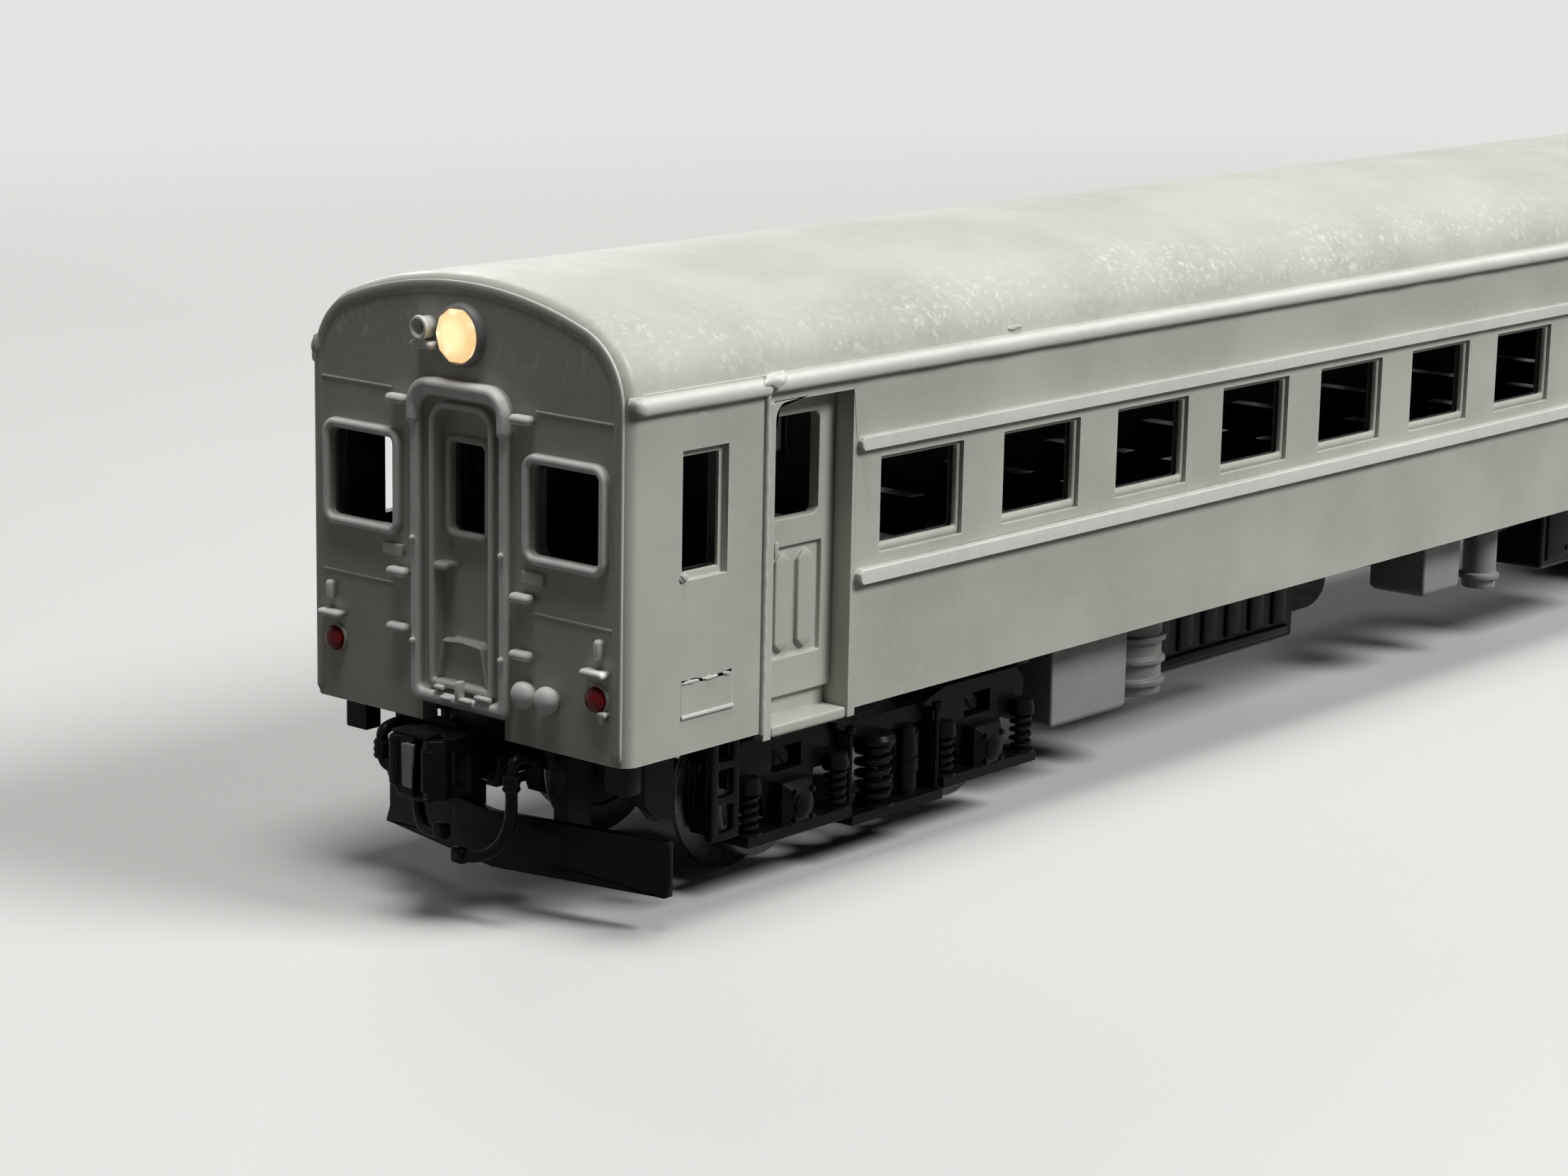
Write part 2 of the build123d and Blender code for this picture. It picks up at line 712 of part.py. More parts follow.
# Chassis: floor plate, pivot bosses, centre sill and draft boxes
sill_gap = truck_from_face + truck_half_length + 1.5
with BuildPart() as chassis:
    with BuildSketch(Plane.XY.offset(floor_bottom)):
        Rectangle(body_length - 2 * wall - 2 * floor_clearance, 2 * floor_half_width)
        for side in (-1, 1):
            for x, z in door_places:
                with Locations((x, side * half_width)):
                    Rectangle(door_width + 2 * jamb + 2 * seat_gap, 2 * jamb_depth + 2 * seat_gap,
                              mode=Mode.SUBTRACT)
    extrude(amount=floor_thickness)
    with BuildSketch(Plane.XY.offset(floor_bottom - sill_depth)):
        Rectangle(body_length - 2 * sill_gap, 2 * sill_half_width)
    extrude(amount=sill_depth)
    for end in (-1, 1):
        with BuildSketch(Plane.XY.offset(frame_top + pin_clearance)):
            with Locations((end * truck_x, 0)):
                RegularPolygon(boss_radius, rod_side_count)
        extrude(amount=floor_bottom - frame_top - pin_clearance)
        with BuildSketch(Plane.XY.offset(frame_top)):
            with Locations((end * truck_x, 0)):
                Circle(kingpin_radius + fit_clearance)
        extrude(amount=kingpin_grip, mode=Mode.SUBTRACT)
        with BuildSketch(Plane.XY.offset(draft_box_bottom)):
            with Locations((end * (face_x + draft_box_start + draft_box_length / 2), 0)):
                Rectangle(draft_box_length, 2 * draft_box_half_width)
        extrude(amount=floor_bottom - draft_box_bottom)
save(chassis.part, "chassis")

# Inside: a low seat tray on the floor, with the weight between
with BuildPart() as weight:
    with BuildSketch(Plane.XY.offset(tray_bottom)):
        Rectangle(2 * weight_half_length, 2 * weight_half_width)
    extrude(amount=weight_thickness)
save(weight.part, "weight_plate")

with BuildPart() as tray:
    tray_length = seat_count * seat_pitch + 2 * tray_end
    tray_z = tray_bottom + weight_thickness
    with BuildSketch(Plane.XY.offset(tray_z)):
        Rectangle(tray_length, 2 * floor_half_width - 2 * tray_margin)
    extrude(amount=tray_thickness)
    with BuildSketch(Plane.XY.offset(tray_z + tray_thickness)):
        for side in (-1, 1):
            with Locations((0, side * (seat_aisle + seat_width) / 2)):
                with GridLocations(seat_pitch, 1, seat_count, 1):
                    Rectangle(seat_thickness, seat_width)
    extrude(amount=seat_height)
save(tray.part, "seat_tray")

# Partition behind each cab, with its door leaf, standing on the floor plate
with BuildPart() as partition:
    with BuildSketch(Plane.YZ.offset(at_face(partition_start))):
        with Locations((0, tray_bottom)):
            Rectangle(2 * partition_half_width, partition_height, align=(Align.CENTER, Align.MIN))
    extrude(amount=partition_thickness)
    with BuildSketch(Plane.YZ.offset(at_face(partition_start))):
        with Locations((0, tray_bottom)):
            Rectangle(partition_door_width, partition_door_height, align=(Align.CENTER, Align.MIN))
    extrude(amount=-partition_door_proud)
save_both(partition.part, "cab_partition")

# Underfloor boxes: start behind the front face, length, side they hang on, how far in, depth, bottom, top
box_columns = ("node", "start", "length", "side", "inset", "depth", "bottom", "top")
underfloor_boxes = (
    ("radiator_box", 31.7, 6.2, -1, box_inset, 4.5, 3.5, floor_bottom),
    ("engine_block", 44.0, 14.0, 1, engine_inset, 2 * engine_half_width, 3.2, sill_bottom),
    ("battery_box", 66.0, 3.8, -1, box_inset, 3.5, 4.6, floor_bottom),
    ("fuel_tank", 40.0, 12.0, 1, box_inset, fuel_tank_depth, 3.6, floor_bottom),
    ("control_box", 79.0, 12.0, -1, box_inset, 4.3, 4.2, floor_bottom),
    ("heater_box", 70.0, 12.0, 1, box_inset, 4.3, 4.0, floor_bottom),
)
for row in underfloor_boxes:
    box = dict(zip(box_columns, row))
    outer_face = box["side"] * (half_width - box["inset"])
    middle = outer_face - box["side"] * box["depth"] / 2
    with BuildPart() as casing:
        with BuildSketch(Plane.XY.offset(box["bottom"])):
            with Locations((at_face(box["start"] + box["length"] / 2), middle)):
                Rectangle(box["length"], box["depth"])
        extrude(amount=box["top"] - box["bottom"])
        chamfer(casing.faces().sort_by(Axis.Z)[0].edges(), box_bevel)
    save(casing.part, box["node"])

# Upright canisters under the floor, with raised rings: centre behind the face, radius, how far in, bottom
air_cleaner_ring_count = 3
air_tank_ring_count = 1
canisters = (
    ("air_cleaner", 40.3, 1.75, box_inset, 3.7, air_cleaner_ring_count),
    ("air_tank", 73.6, 0.95, box_inset, 4.0, air_tank_ring_count),
)
for node, start, radius, inset, bottom, ring_count in canisters:
    canister_middle = (at_face(start), -(half_width - inset - radius))
    with BuildPart() as canister:
        with BuildSketch(Plane.XY.offset(bottom)):
            with Locations(canister_middle):
                RegularPolygon(radius, canister_side_count)
        extrude(amount=floor_bottom - bottom)
        for ring in range(ring_count):
            with BuildSketch(Plane.XY.offset(bottom + canister_ring_start + ring * canister_ring_pitch)):
                with Locations(canister_middle):
                    RegularPolygon(radius + canister_ring, canister_side_count)
            extrude(amount=canister_ring_height)
    save(canister.part, node)

# Gearbox behind the engine, hung from the centre sill
with BuildPart() as gearbox:
    with BuildSketch(Plane.YZ.offset(at_face(gearbox_start))):
        with Locations((0, sill_bottom - gearbox_radius)):
            Circle(gearbox_radius)
        with Locations((0, sill_bottom - gearbox_radius / 2)):
            Rectangle(gearbox_radius, gearbox_radius)
    extrude(amount=gearbox_length)
save(gearbox.part, "gearbox")

# Coupler: a shank under the end beam and an open knuckle head, taller than the shank, with a guard arm
with BuildPart() as coupler:
    shank_length = head_reach - head_length + draft_box_start
    with BuildSketch(Plane.XY.offset(coupler_height - coupler_thickness / 2)):
        with Locations((at_face(draft_box_start - shank_length / 2), 0)):
            Rectangle(shank_length, 2 * shank_half_width)
    extrude(amount=coupler_thickness)
    with BuildSketch(Plane.XY.offset(coupler_height - head_height / 2)) as head:
        with Locations((face_x - head_reach + head_length / 2, 0)):
            Rectangle(head_length, 2 * head_half_width)
        chamfer(head.vertices().group_by(Axis.X)[0], head_bevel)
        with Locations((face_x - head_reach + jaw_radius + jaw_wall, -jaw_offset)):
            RegularPolygon(jaw_radius, rod_side_count, mode=Mode.SUBTRACT)
        with Locations((face_x - head_reach, -jaw_offset)):
            Rectangle(2 * (jaw_radius + jaw_wall), jaw_radius, mode=Mode.SUBTRACT)
    extrude(amount=head_height)
save_both(coupler.part, "coupler")


def hose(points):
    """Sweep a moulded hose along straight runs with mitred corners."""
    with BuildPart(mode=Mode.PRIVATE) as tube:
        with BuildLine() as route:
            Polyline(*points)
        with BuildSketch(Plane(origin=points[0], z_dir=route.line % 0)):
            RegularPolygon(hose_radius, hose_side_count)
        sweep(transition=Transition.RIGHT)
    return tube.part


# End beam with the moulded brake hoses, one loop and two that hang below the coupler
beam_x = at_face(beam_front)
hose_x = face_x - hose_reach
slot_width = 2 * (shank_half_width + beam_gap)
loop_middle = (hose_loop_inner + hose_loop_outer) / 2
loop_route = [
    (beam_x, hose_loop_inner, hose_height),
    (hose_x + hose_bend, hose_loop_inner, hose_height),
    (hose_x, hose_loop_inner, hose_height - hose_bend),
    (hose_x, hose_loop_inner, hose_loop_bottom + hose_bend),
    (hose_x, loop_middle, hose_loop_bottom),
    (hose_x, hose_loop_outer, hose_loop_bottom + hose_bend),
    (hose_x, hose_loop_outer, hose_height - hose_bend),
    (hose_x + hose_bend, hose_loop_outer, hose_height),
    (beam_x, hose_loop_outer, hose_height),
]
left_route = [
    (beam_x, 2.1, hose_height),
    (hose_x + hose_bend, 2.1, hose_height),
    (hose_x, 2.1, hose_height - hose_bend),
    (hose_x, 2.1, 4.8),
    (hose_x - 0.2, 1.8, 4.0),
    (hose_x - 0.5, 1.1, 3.5),
    (hose_x - 0.6, 0.1, 3.7),
]
right_route = [
    (beam_x, -3.6, hose_height),
    (hose_x + hose_bend, -3.6, hose_height),
    (hose_x, -3.6, hose_height - hose_bend),
    (hose_x, -3.6, 4.7),
    (hose_x - 0.2, -3.2, 3.7),
    (hose_x - 0.4, -2.3, 3.0),
    (hose_x - 0.5, -0.9, 2.8),
]
with BuildPart() as hoses:
    with BuildSketch(Plane.YZ.offset(beam_x)):
        with Locations((0, (beam_bottom + body_bottom) / 2)):
            Rectangle(2 * beam_half_width, body_bottom - beam_bottom)
        with Locations((0, (draft_box_bottom - beam_lip + body_bottom) / 2)):
            Rectangle(2 * draft_box_half_width, body_bottom - draft_box_bottom + beam_lip)
        with Locations((0, coupler_height)):
            Rectangle(slot_width, coupler_thickness + 2 * beam_gap, mode=Mode.SUBTRACT)
        with Locations((0, body_bottom)):
            Rectangle(slot_width, coupler_thickness / 2, mode=Mode.SUBTRACT)
    extrude(amount=draft_box_start - beam_front)
    for route_points in (loop_route, left_route, right_route):
        add(hose(route_points))
save_both(hoses.part, "brake_hoses")

# Snow plough: two hollow-faced wings swept back from the middle, on two arms
with BuildPart() as plough:
    wing_top = plough_bottom + plough_height
    wing_reach = sqrt(plough_sweep**2 + plough_half_width**2)
    for side in (-1, 1):
        with BuildSketch(Plane.XZ):
            with BuildLine():
                front = at_face(plough_centre)
                back = front + plough_thickness
                Polyline(
                    (front, plough_bottom),
                    (back, plough_bottom),
                    (back, wing_top),
                    (front, wing_top),
                    (front + plough_hollow, wing_top - plough_lip),
                    (front + plough_hollow, plough_bottom + plough_lip),
                    close=True,
                )
            make_face()
        wing_direction = (plough_sweep / wing_reach, side * plough_half_width / wing_reach, 0)
        extrude(amount=wing_reach, dir=wing_direction)
        arm_x = at_face(plough_centre + plough_sweep * plough_arm_offset / plough_half_width)
        arm_height = floor_bottom - plough_bottom - plough_thickness
        with Locations((arm_x + plough_thickness / 2, side * plough_arm_offset, floor_bottom)):
            Box(
                plough_arm_length,
                plough_arm_width,
                arm_height,
                align=(Align.MIN, Align.CENTER, Align.MAX),
            )
save_both(plough.part, "snow_plough")

# Crew ladders below the cab, one on each side
with BuildPart() as ladders:
    ladder_height = floor_bottom - ladder_bottom
    opening = (ladder_height - (ladder_rung_count + 1) * rung_height) / ladder_rung_count
    with BuildSketch(Plane.XZ.offset(ladder_outer)):
        with Locations((at_face(ladder_start + ladder_width / 2), ladder_bottom + ladder_height / 2)):
            Rectangle(ladder_width, ladder_height)
            with GridLocations(1, opening + rung_height, 1, ladder_rung_count):
                Rectangle(ladder_width - 2 * ladder_rail, opening, mode=Mode.SUBTRACT)
    extrude(amount=-ladder_thickness)
    # tapered plate and corner bracket that hang below the cab
    with BuildSketch(Plane.XZ.offset(half_width - wall - plate_inset)):
        with BuildLine():
            Polyline(
                (at_face(plate_start), floor_bottom),
                (at_face(plate_start + plate_width), floor_bottom),
                (at_face(plate_start + plate_width), plate_bottom),
                (at_face(plate_start + plate_width - plate_foot), plate_bottom),
                (at_face(plate_start), plate_bottom + plate_width - plate_foot),
                close=True,
            )
        make_face()
    extrude(amount=-plate_thickness)
    with Locations((at_face(corner_bracket_start), -(half_width - wall - floor_clearance), floor_bottom)):
        Box(
            corner_bracket_length,
            corner_bracket_width,
            floor_bottom - corner_bracket_bottom,
            align=(Align.MIN, Align.MIN, Align.MAX),
        )
    mirror(about=Plane.XZ)
save_both(ladders.part, "cab_ladders")


def coil_spring(x, y, bottom, top, radius, turns, side_count):
    """A moulded coil spring: a post with one ridge for each turn, and a few flats round it."""
    turn_height = (top - bottom) / turns
    taper = degrees(atan2(radius * (1 - spring_groove), turn_height / 2))
    with BuildPart(mode=Mode.PRIVATE) as ridge:
        with BuildSketch():
            RegularPolygon(radius, side_count)
        extrude(amount=turn_height / 2, taper=taper)
        mirror(about=Plane.XY)
    with BuildPart(mode=Mode.PRIVATE) as spring:
        with Locations(*[(x, y, bottom + (turn + 0.5) * turn_height) for turn in range(turns)]):
            add(ridge.part)
    return spring.part


def post(x, y, bottom, top, radius, side_count):
    """An upright round rod, with a few flats."""
    with BuildPart(mode=Mode.PRIVATE) as rod:
        with BuildSketch(Plane((x, y, bottom))):
            RegularPolygon(radius, side_count)
        extrude(amount=top - bottom)
    return rod.part


# Truck frame: one side built outwards from its inner face, then mirrored
axle_places = [truck_x - wheelbase / 2, truck_x + wheelbase / 2]
frame_face = side_frame_inner + side_frame_thickness
spring_y = -(frame_face + spring_setting_out - spring_inset)
bar_top = wing_bar_bottom + wing_bar_height
setting_out = side_frame_thickness + 2 * spring_setting_out
pedestal = (wheelbase / 2 - pedestal_half_width, wheelbase / 2 + pedestal_half_width)
half_outline = [
    (centre_beam_half, frame_dip),
    (centre_beam_half + beam_slope, frame_top),
    (truck_half_length - frame_end_corner, frame_top),
    (truck_half_length, frame_top - frame_end_corner),
    (truck_half_length, frame_bottom),
    (pedestal[1] + pedestal_slope, frame_bottom),
    (pedestal[1], pedestal_bottom),
    (pedestal[0], pedestal_bottom),
    (pedestal[0] - pedestal_slope, frame_bottom),
    (centre_beam_half + pedestal_slope, frame_bottom),
    (centre_beam_half, centre_beam_bottom),
]
with BuildPart() as truck:
    with BuildSketch(Plane.XZ.offset(side_frame_inner)):
        with BuildLine():
            right_half = [(truck_x + u, z) for u, z in half_outline]
            left_half = [(truck_x - u, z) for u, z in reversed(half_outline)]
            Polyline(*right_half, *left_half, close=True)
        make_face()
        with Locations(*[(x, box_window_bottom + box_window_height / 2) for x in axle_places]):
            Rectangle(box_window_width, box_window_height, mode=Mode.SUBTRACT)
    extrude(amount=side_frame_thickness)
    for x in axle_places:
        # axle box with its wings, and a spring on each wing
        with BuildSketch(Plane.XZ.offset(frame_face)):
            with Locations((x, axle_z)):
                Rectangle(axle_box_width, axle_box_height)
        extrude(amount=axle_box_proud)
        chamfer(truck.faces().sort_by(Axis.Y)[0].edges(), axle_box_chamfer)
        with BuildSketch(Plane.XZ.offset(side_frame_inner)):
            with Locations((x, wing_bar_bottom + wing_bar_height / 2)):
                Rectangle(2 * wing_bar_half, wing_bar_height)
        extrude(amount=setting_out)
        for spring_x in (x - wing_spring_offset, x + wing_spring_offset):
            add(
                coil_spring(
                    spring_x,
                    spring_y,
                    bar_top,
                    frame_bottom,
                    wing_spring_radius,
                    wing_spring_turns,
                    wing_spring_side_count,
                )
            )
            cap_top = frame_bottom + spring_cap_height
            add(post(spring_x, spring_y, frame_bottom, cap_top, wing_spring_radius, wing_spring_side_count))
    # bolster spring, damper and hangers, on the spring plank
    plank_top = spring_plank_bottom + spring_plank_height
    plank_y = -(side_frame_inner + setting_out / 2)
    with BuildSketch(Plane.XZ.offset(side_frame_inner)):
        with Locations((truck_x, spring_plank_bottom + spring_plank_height / 2)):
            Rectangle(2 * spring_plank_half, spring_plank_height)
    extrude(amount=setting_out)
    bolster_spring_x = truck_x + bolster_spring_place
    add(
        coil_spring(
            bolster_spring_x,
            plank_y,
            plank_top,
            centre_beam_bottom,
            bolster_spring_radius,
            bolster_spring_turns,
            bolster_spring_side_count,
        )
    )
    add(post(truck_x + damper_place, plank_y, plank_top, centre_beam_bottom, damper_radius, rod_side_count))
    hanger_bottom = plank_top - hanger_overlap
    with Locations(*[(truck_x + side * hanger_offset, -frame_face, hanger_bottom) for side in (-1, 1)]):
        Box(
            hanger_thickness,
            2 * hanger_thickness,
            frame_dip - plank_top,
            align=(Align.CENTER, Align.CENTER, Align.MIN),
        )
    # half of the bolster and of the spine that joins the sides
    with BuildSketch(Plane.XY.offset(bolster_bottom)):
        with Locations((truck_x, -side_frame_inner / 2)):
            Rectangle(2 * bolster_half_width, side_frame_inner)
    extrude(amount=bolster_top - bolster_bottom)
    with BuildSketch(Plane.XY.offset(spine_bottom)):
        with Locations((truck_x, -spine_half_width / 2)):
            Rectangle(2 * spine_half_length, spine_half_width)
    extrude(amount=bolster_top - spine_bottom)
    # blind bores for the journals
    with BuildSketch(Plane.XZ.offset(side_frame_inner - 1)):
        with Locations(*[(x, axle_z) for x in axle_places]):
            RegularPolygon(journal_radius + journal_clearance, rod_side_count, major_radius=False)
    extrude(amount=journal_bore_depth + 1, mode=Mode.SUBTRACT)
    mirror(about=Plane.XZ)
    with BuildSketch(Plane.XY.offset(bolster_bottom)):
        with Locations((truck_x, 0)):
            RegularPolygon(boss_radius, rod_side_count)
    extrude(amount=frame_top - bolster_bottom)
    with BuildSketch(Plane.XY.offset(bolster_bottom - 1)):
        with Locations((truck_x, 0)):
            Circle(kingpin_radius + pin_clearance)
    extrude(amount=frame_top - bolster_bottom + 2, mode=Mode.SUBTRACT)
save_both(truck.part, "truck_frame")

# Kingpin, with its head below the bolster and its shank up in the chassis
with BuildPart() as kingpin:
    head_top = bolster_bottom - pin_clearance
    with BuildSketch(Plane.XY.offset(head_top - kingpin_head)):
        with Locations((truck_x, 0)):
            RegularPolygon(kingpin_head_radius, kingpin_head_side_count)
    extrude(amount=kingpin_head)
    with BuildSketch(Plane.XY.offset(head_top)):
        with Locations((truck_x, 0)):
            Circle(kingpin_radius)
    extrude(amount=frame_top + kingpin_grip - head_top)
save_both(kingpin.part, "kingpin")

# Wheelsets: two turned wheels with flanges, on an axle that ends in the journals
journal_end = side_frame_inner + journal_bore_depth - journal_end_gap
wheel_inner = back_to_back / 2
flange_taper = degrees(atan2(flange_height * cos(pi / wheel_side_count), flange_thickness))
axle_xs = [
    truck_x - wheelbase / 2,
    truck_x + wheelbase / 2,
    -truck_x - wheelbase / 2,
    -truck_x + wheelbase / 2,
]
with BuildPart() as flange:
    with BuildSketch():
        RegularPolygon(wheel_radius + flange_height, wheel_side_count)
    extrude(amount=flange_thickness, taper=flange_taper)
for number, x in enumerate(axle_xs, start=1):
    with BuildPart() as wheelset:
        with Locations(Plane((x, -wheel_inner, axle_z), x_dir=(1, 0, 0), z_dir=(0, -1, 0))):
            add(flange.part)
        with BuildSketch(Plane.XZ.offset(wheel_inner + flange_thickness)):
            with Locations((x, axle_z)):
                RegularPolygon(wheel_radius, wheel_side_count)
        extrude(amount=wheel_thickness - flange_thickness)
        mirror(about=Plane.XZ)
        shaft_steps = ((axle_radius, side_frame_inner - axle_shoulder), (journal_radius, journal_end))
        for radius, half_length in shaft_steps:
            with BuildSketch(Plane.XZ.offset(-half_length)):
                with Locations((x, axle_z)):
                    RegularPolygon(radius, rod_side_count)
            extrude(amount=2 * half_length)
    save(wheelset.part, f"wheelset_{number}")
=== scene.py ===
"""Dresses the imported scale-model railcar: rounded mouldings, finishes, trim, light and camera.

The CAD frame holds every main shape. This script rounds its moulded edges, gives each piece a procedural
finish, adds the small trim that the source leaves out, and places the lamps and the camera.
All sizes below are in millimetres in the frame of the CAD; a mesh is scaled to metres when it is written.
"""

from __future__ import annotations

import json
import logging
import math
from collections.abc import Callable, Sequence
from dataclasses import dataclass, field
from enum import Enum
from itertools import product

import bmesh
import bpy
import numpy as np
from mathutils import Matrix

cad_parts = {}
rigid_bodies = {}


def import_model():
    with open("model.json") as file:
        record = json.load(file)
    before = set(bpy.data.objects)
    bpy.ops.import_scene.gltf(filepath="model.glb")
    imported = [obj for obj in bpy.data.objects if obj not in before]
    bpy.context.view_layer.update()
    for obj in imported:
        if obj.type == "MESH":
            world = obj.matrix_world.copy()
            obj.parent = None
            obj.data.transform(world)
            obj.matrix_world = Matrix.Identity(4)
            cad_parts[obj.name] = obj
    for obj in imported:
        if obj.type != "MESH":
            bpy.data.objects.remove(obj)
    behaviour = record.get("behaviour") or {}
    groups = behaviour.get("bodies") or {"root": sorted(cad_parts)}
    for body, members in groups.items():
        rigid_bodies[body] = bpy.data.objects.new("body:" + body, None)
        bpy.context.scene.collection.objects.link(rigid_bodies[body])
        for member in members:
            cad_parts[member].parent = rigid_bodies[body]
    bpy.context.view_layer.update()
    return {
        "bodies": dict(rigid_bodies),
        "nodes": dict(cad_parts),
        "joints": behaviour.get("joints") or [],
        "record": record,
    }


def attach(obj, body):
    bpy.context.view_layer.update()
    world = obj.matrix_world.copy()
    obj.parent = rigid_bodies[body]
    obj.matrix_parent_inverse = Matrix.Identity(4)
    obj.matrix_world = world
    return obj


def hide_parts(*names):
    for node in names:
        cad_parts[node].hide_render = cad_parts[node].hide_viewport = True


LOG = logging.getLogger("railcar")
MM = 0.001
TURN = 2 * math.pi
FACE = -63.7
HALF_WIDTH = 9.5
# WALL_INNER to DOOR_MARGIN, apart from BEAD_SINK, bound the painted shade on the car's inside and its window
# reveals.
WALL_INNER = 9.05
DOOR_INNER = 7.98
DOOR_SPAN = (49.4, 54.6)
CROWN_CENTRE = 6.57
CROWN_INNER = 20.16
FACE_WALL = 0.86
DOORWAY_HALF = 3.2
PANE_HALF = 1.1
PANE_MIDDLE = 18.45
PANE_RISE = 2.05
REVEAL_TOP = 21.5
BEAD_SINK = 0.08
REVEAL_SHADE = 0.92
REVEAL_FADE = (0.06, 0.5)
PANE_FADE = (0.47, 0.7)
DOOR_MARGIN = 0.1
COIL_STEPS = 16
CAR = "car_body"

# Two measures; three of them, or a linear colour; any number of them; a line of places in pairs; the middle,
# full size and edge radius of a block; a shader node's socket.
Pair = tuple[float, float]
Triple = tuple[float, float, float]
Row = tuple[float, ...]
Outline = tuple[Pair, ...]
Block = tuple[Triple, Triple, float]
Socket = bpy.types.NodeSocket


class Slot(Enum):
    """Material slots of the record."""

    BODY = "body_plastic"
    CHASSIS = "chassis_plastic"
    LIGHT = "light_plastic"
    MID = "mid_plastic"
    HEADLAMP = "headlamp_lens"
    TAIL = "tail_lens"
    WHEEL = "wheel_metal"
    STEEL = "steel"


class End(Enum):
    """The two ends of the car; a rear piece is the front one turned half round."""

    FRONT = "front"
    REAR = "rear"


class Side(Enum):
    """The two sides of the car; the left one is the right one turned half round."""

    RIGHT = "right"
    LEFT = "left"


# Surfaces worked out with numpy.


@dataclass
class Surface:
    """Points in millimetres and the quads that join them.

    Attributes:
        points: array of n by 3.
        quads: array of m by 4 indices; a triangle repeats its last index.
    """

    points: np.ndarray
    quads: np.ndarray

    def moved(self, offset: Sequence[float]) -> Surface:
        """The surface, moved by an offset in millimetres."""
        return Surface(self.points + np.asarray(offset, float), self.quads)

    def mirrored_y(self) -> Surface:
        """The surface mirrored across the car, with its faces turned back outwards."""
        return Surface(self.points * np.array([1.0, -1.0, 1.0]), self.quads[:, ::-1])

    def turned(self) -> Surface:
        """The surface turned half round about the middle of the car."""
        return Surface(self.points * np.array([-1.0, -1.0, 1.0]), self.quads)

    def on_both_sides(self) -> Surface:
        """The surface and its mirror image across the car, as one."""
        return joined([self, self.mirrored_y()])


def joined(parts: Sequence[Surface]) -> Surface:
    """Several surfaces as one.

    Args:
        parts: the surfaces, in any order.

    Returns:
        One surface that holds them all.
    """
    starts = np.cumsum([0] + [len(part.points) for part in parts[:-1]])
    return Surface(
        np.concatenate([part.points for part in parts]),
        np.concatenate([part.quads + start for part, start in zip(parts, starts)]),
    )


def grid(points: np.ndarray, wrap_u: bool = False, wrap_v: bool = False) -> Surface:
    """Quads over a grid of points.

    Args:
        points: array of u by v by 3.
        wrap_u: the last row joins the first.
        wrap_v: the last column joins the first.

    Returns:
        The surface over the grid.
    """
    rows, columns = points.shape[:2]
    u = np.arange(rows if wrap_u else rows - 1)
    v = np.arange(columns if wrap_v else columns - 1)
    a, b = np.meshgrid(u, v, indexing="ij")
    a_next, b_next = (a + 1) % rows, (b + 1) % columns
    corners = ((a, b), (a_next, b), (a_next, b_next), (a, b_next))
    quads = np.stack([row * columns + column for row, column in corners], -1)
    return Surface(points.reshape(-1, 3), quads.reshape(-1, 4))


def revolved(
    profile: Sequence[Pair], centre: Sequence[float], axis: str, sides: int = 32
) -> Surface:
    """A profile of (place along the axis, radius) turned about an axis through a centre.

    Point (i, k) lies at centre + along_i * axis + radius_i * (cos, sin) of the turn 2 pi k / sides.

    Args:
        profile: places along the axis and radii, in millimetres.
        centre: the point of the axis that places are counted from.
        axis: "X", "Y" or "Z".
        sides: number of steps round.

    Returns:
        The closed surface, where its profile starts and ends on the axis.
    """
    along, radius = np.asarray(profile, float).T
    angle = np.arange(sides) * TURN / sides
    ring = radius[:, None, None] * np.stack([np.cos(angle), np.sin(angle)], -1)[None]
    line = np.repeat(along[:, None], sides, 1)
    order = {"X": (2, 0, 1), "Y": (1, 2, 0), "Z": (0, 1, 2)}[axis]
    stacked = np.concatenate([ring, line[..., None]], -1)
    points = np.empty_like(stacked)
    points[..., 0], points[..., 1], points[..., 2] = (stacked[..., k] for k in order)
    return grid(points + np.asarray(centre, float), wrap_v=True)


def tube(path: np.ndarray, radius: float | np.ndarray, up: Sequence[float], sides: int = 12) -> Surface:
    """A round rod along a path, with closed ends.

    At each point of the path the ring stands square to the path: one ring axis is the cross product of the
    path's direction and the up vector, the other is square to both.

    Args:
        path: array of n by 3, in millimetres.
        radius: one radius, or one for each point.
        up: a direction that the path never follows.
        sides: number of steps round.

    Returns:
        The closed tube.
    """
    direction = np.gradient(path, axis=0)
    direction /= np.linalg.norm(direction, axis=1, keepdims=True)
    across = np.cross(direction, np.asarray(up, float))
    across /= np.linalg.norm(across, axis=1, keepdims=True)
    other = np.cross(direction, across)
    radii = np.broadcast_to(np.asarray(radius, float), len(path))
    path = np.concatenate([path[:1], path, path[-1:]])
    across = np.concatenate([across[:1], across, across[-1:]])
    other = np.concatenate([other[:1], other, other[-1:]])
    radii = np.concatenate([[0.0], radii, [0.0]])
    angle = np.arange(sides) * TURN / sides
    ring = np.cos(angle)[None, :, None] * across[:, None] + np.sin(angle)[None, :, None] * other[:, None]
    return grid(path[:, None] + radii[:, None, None] * ring, wrap_v=True)


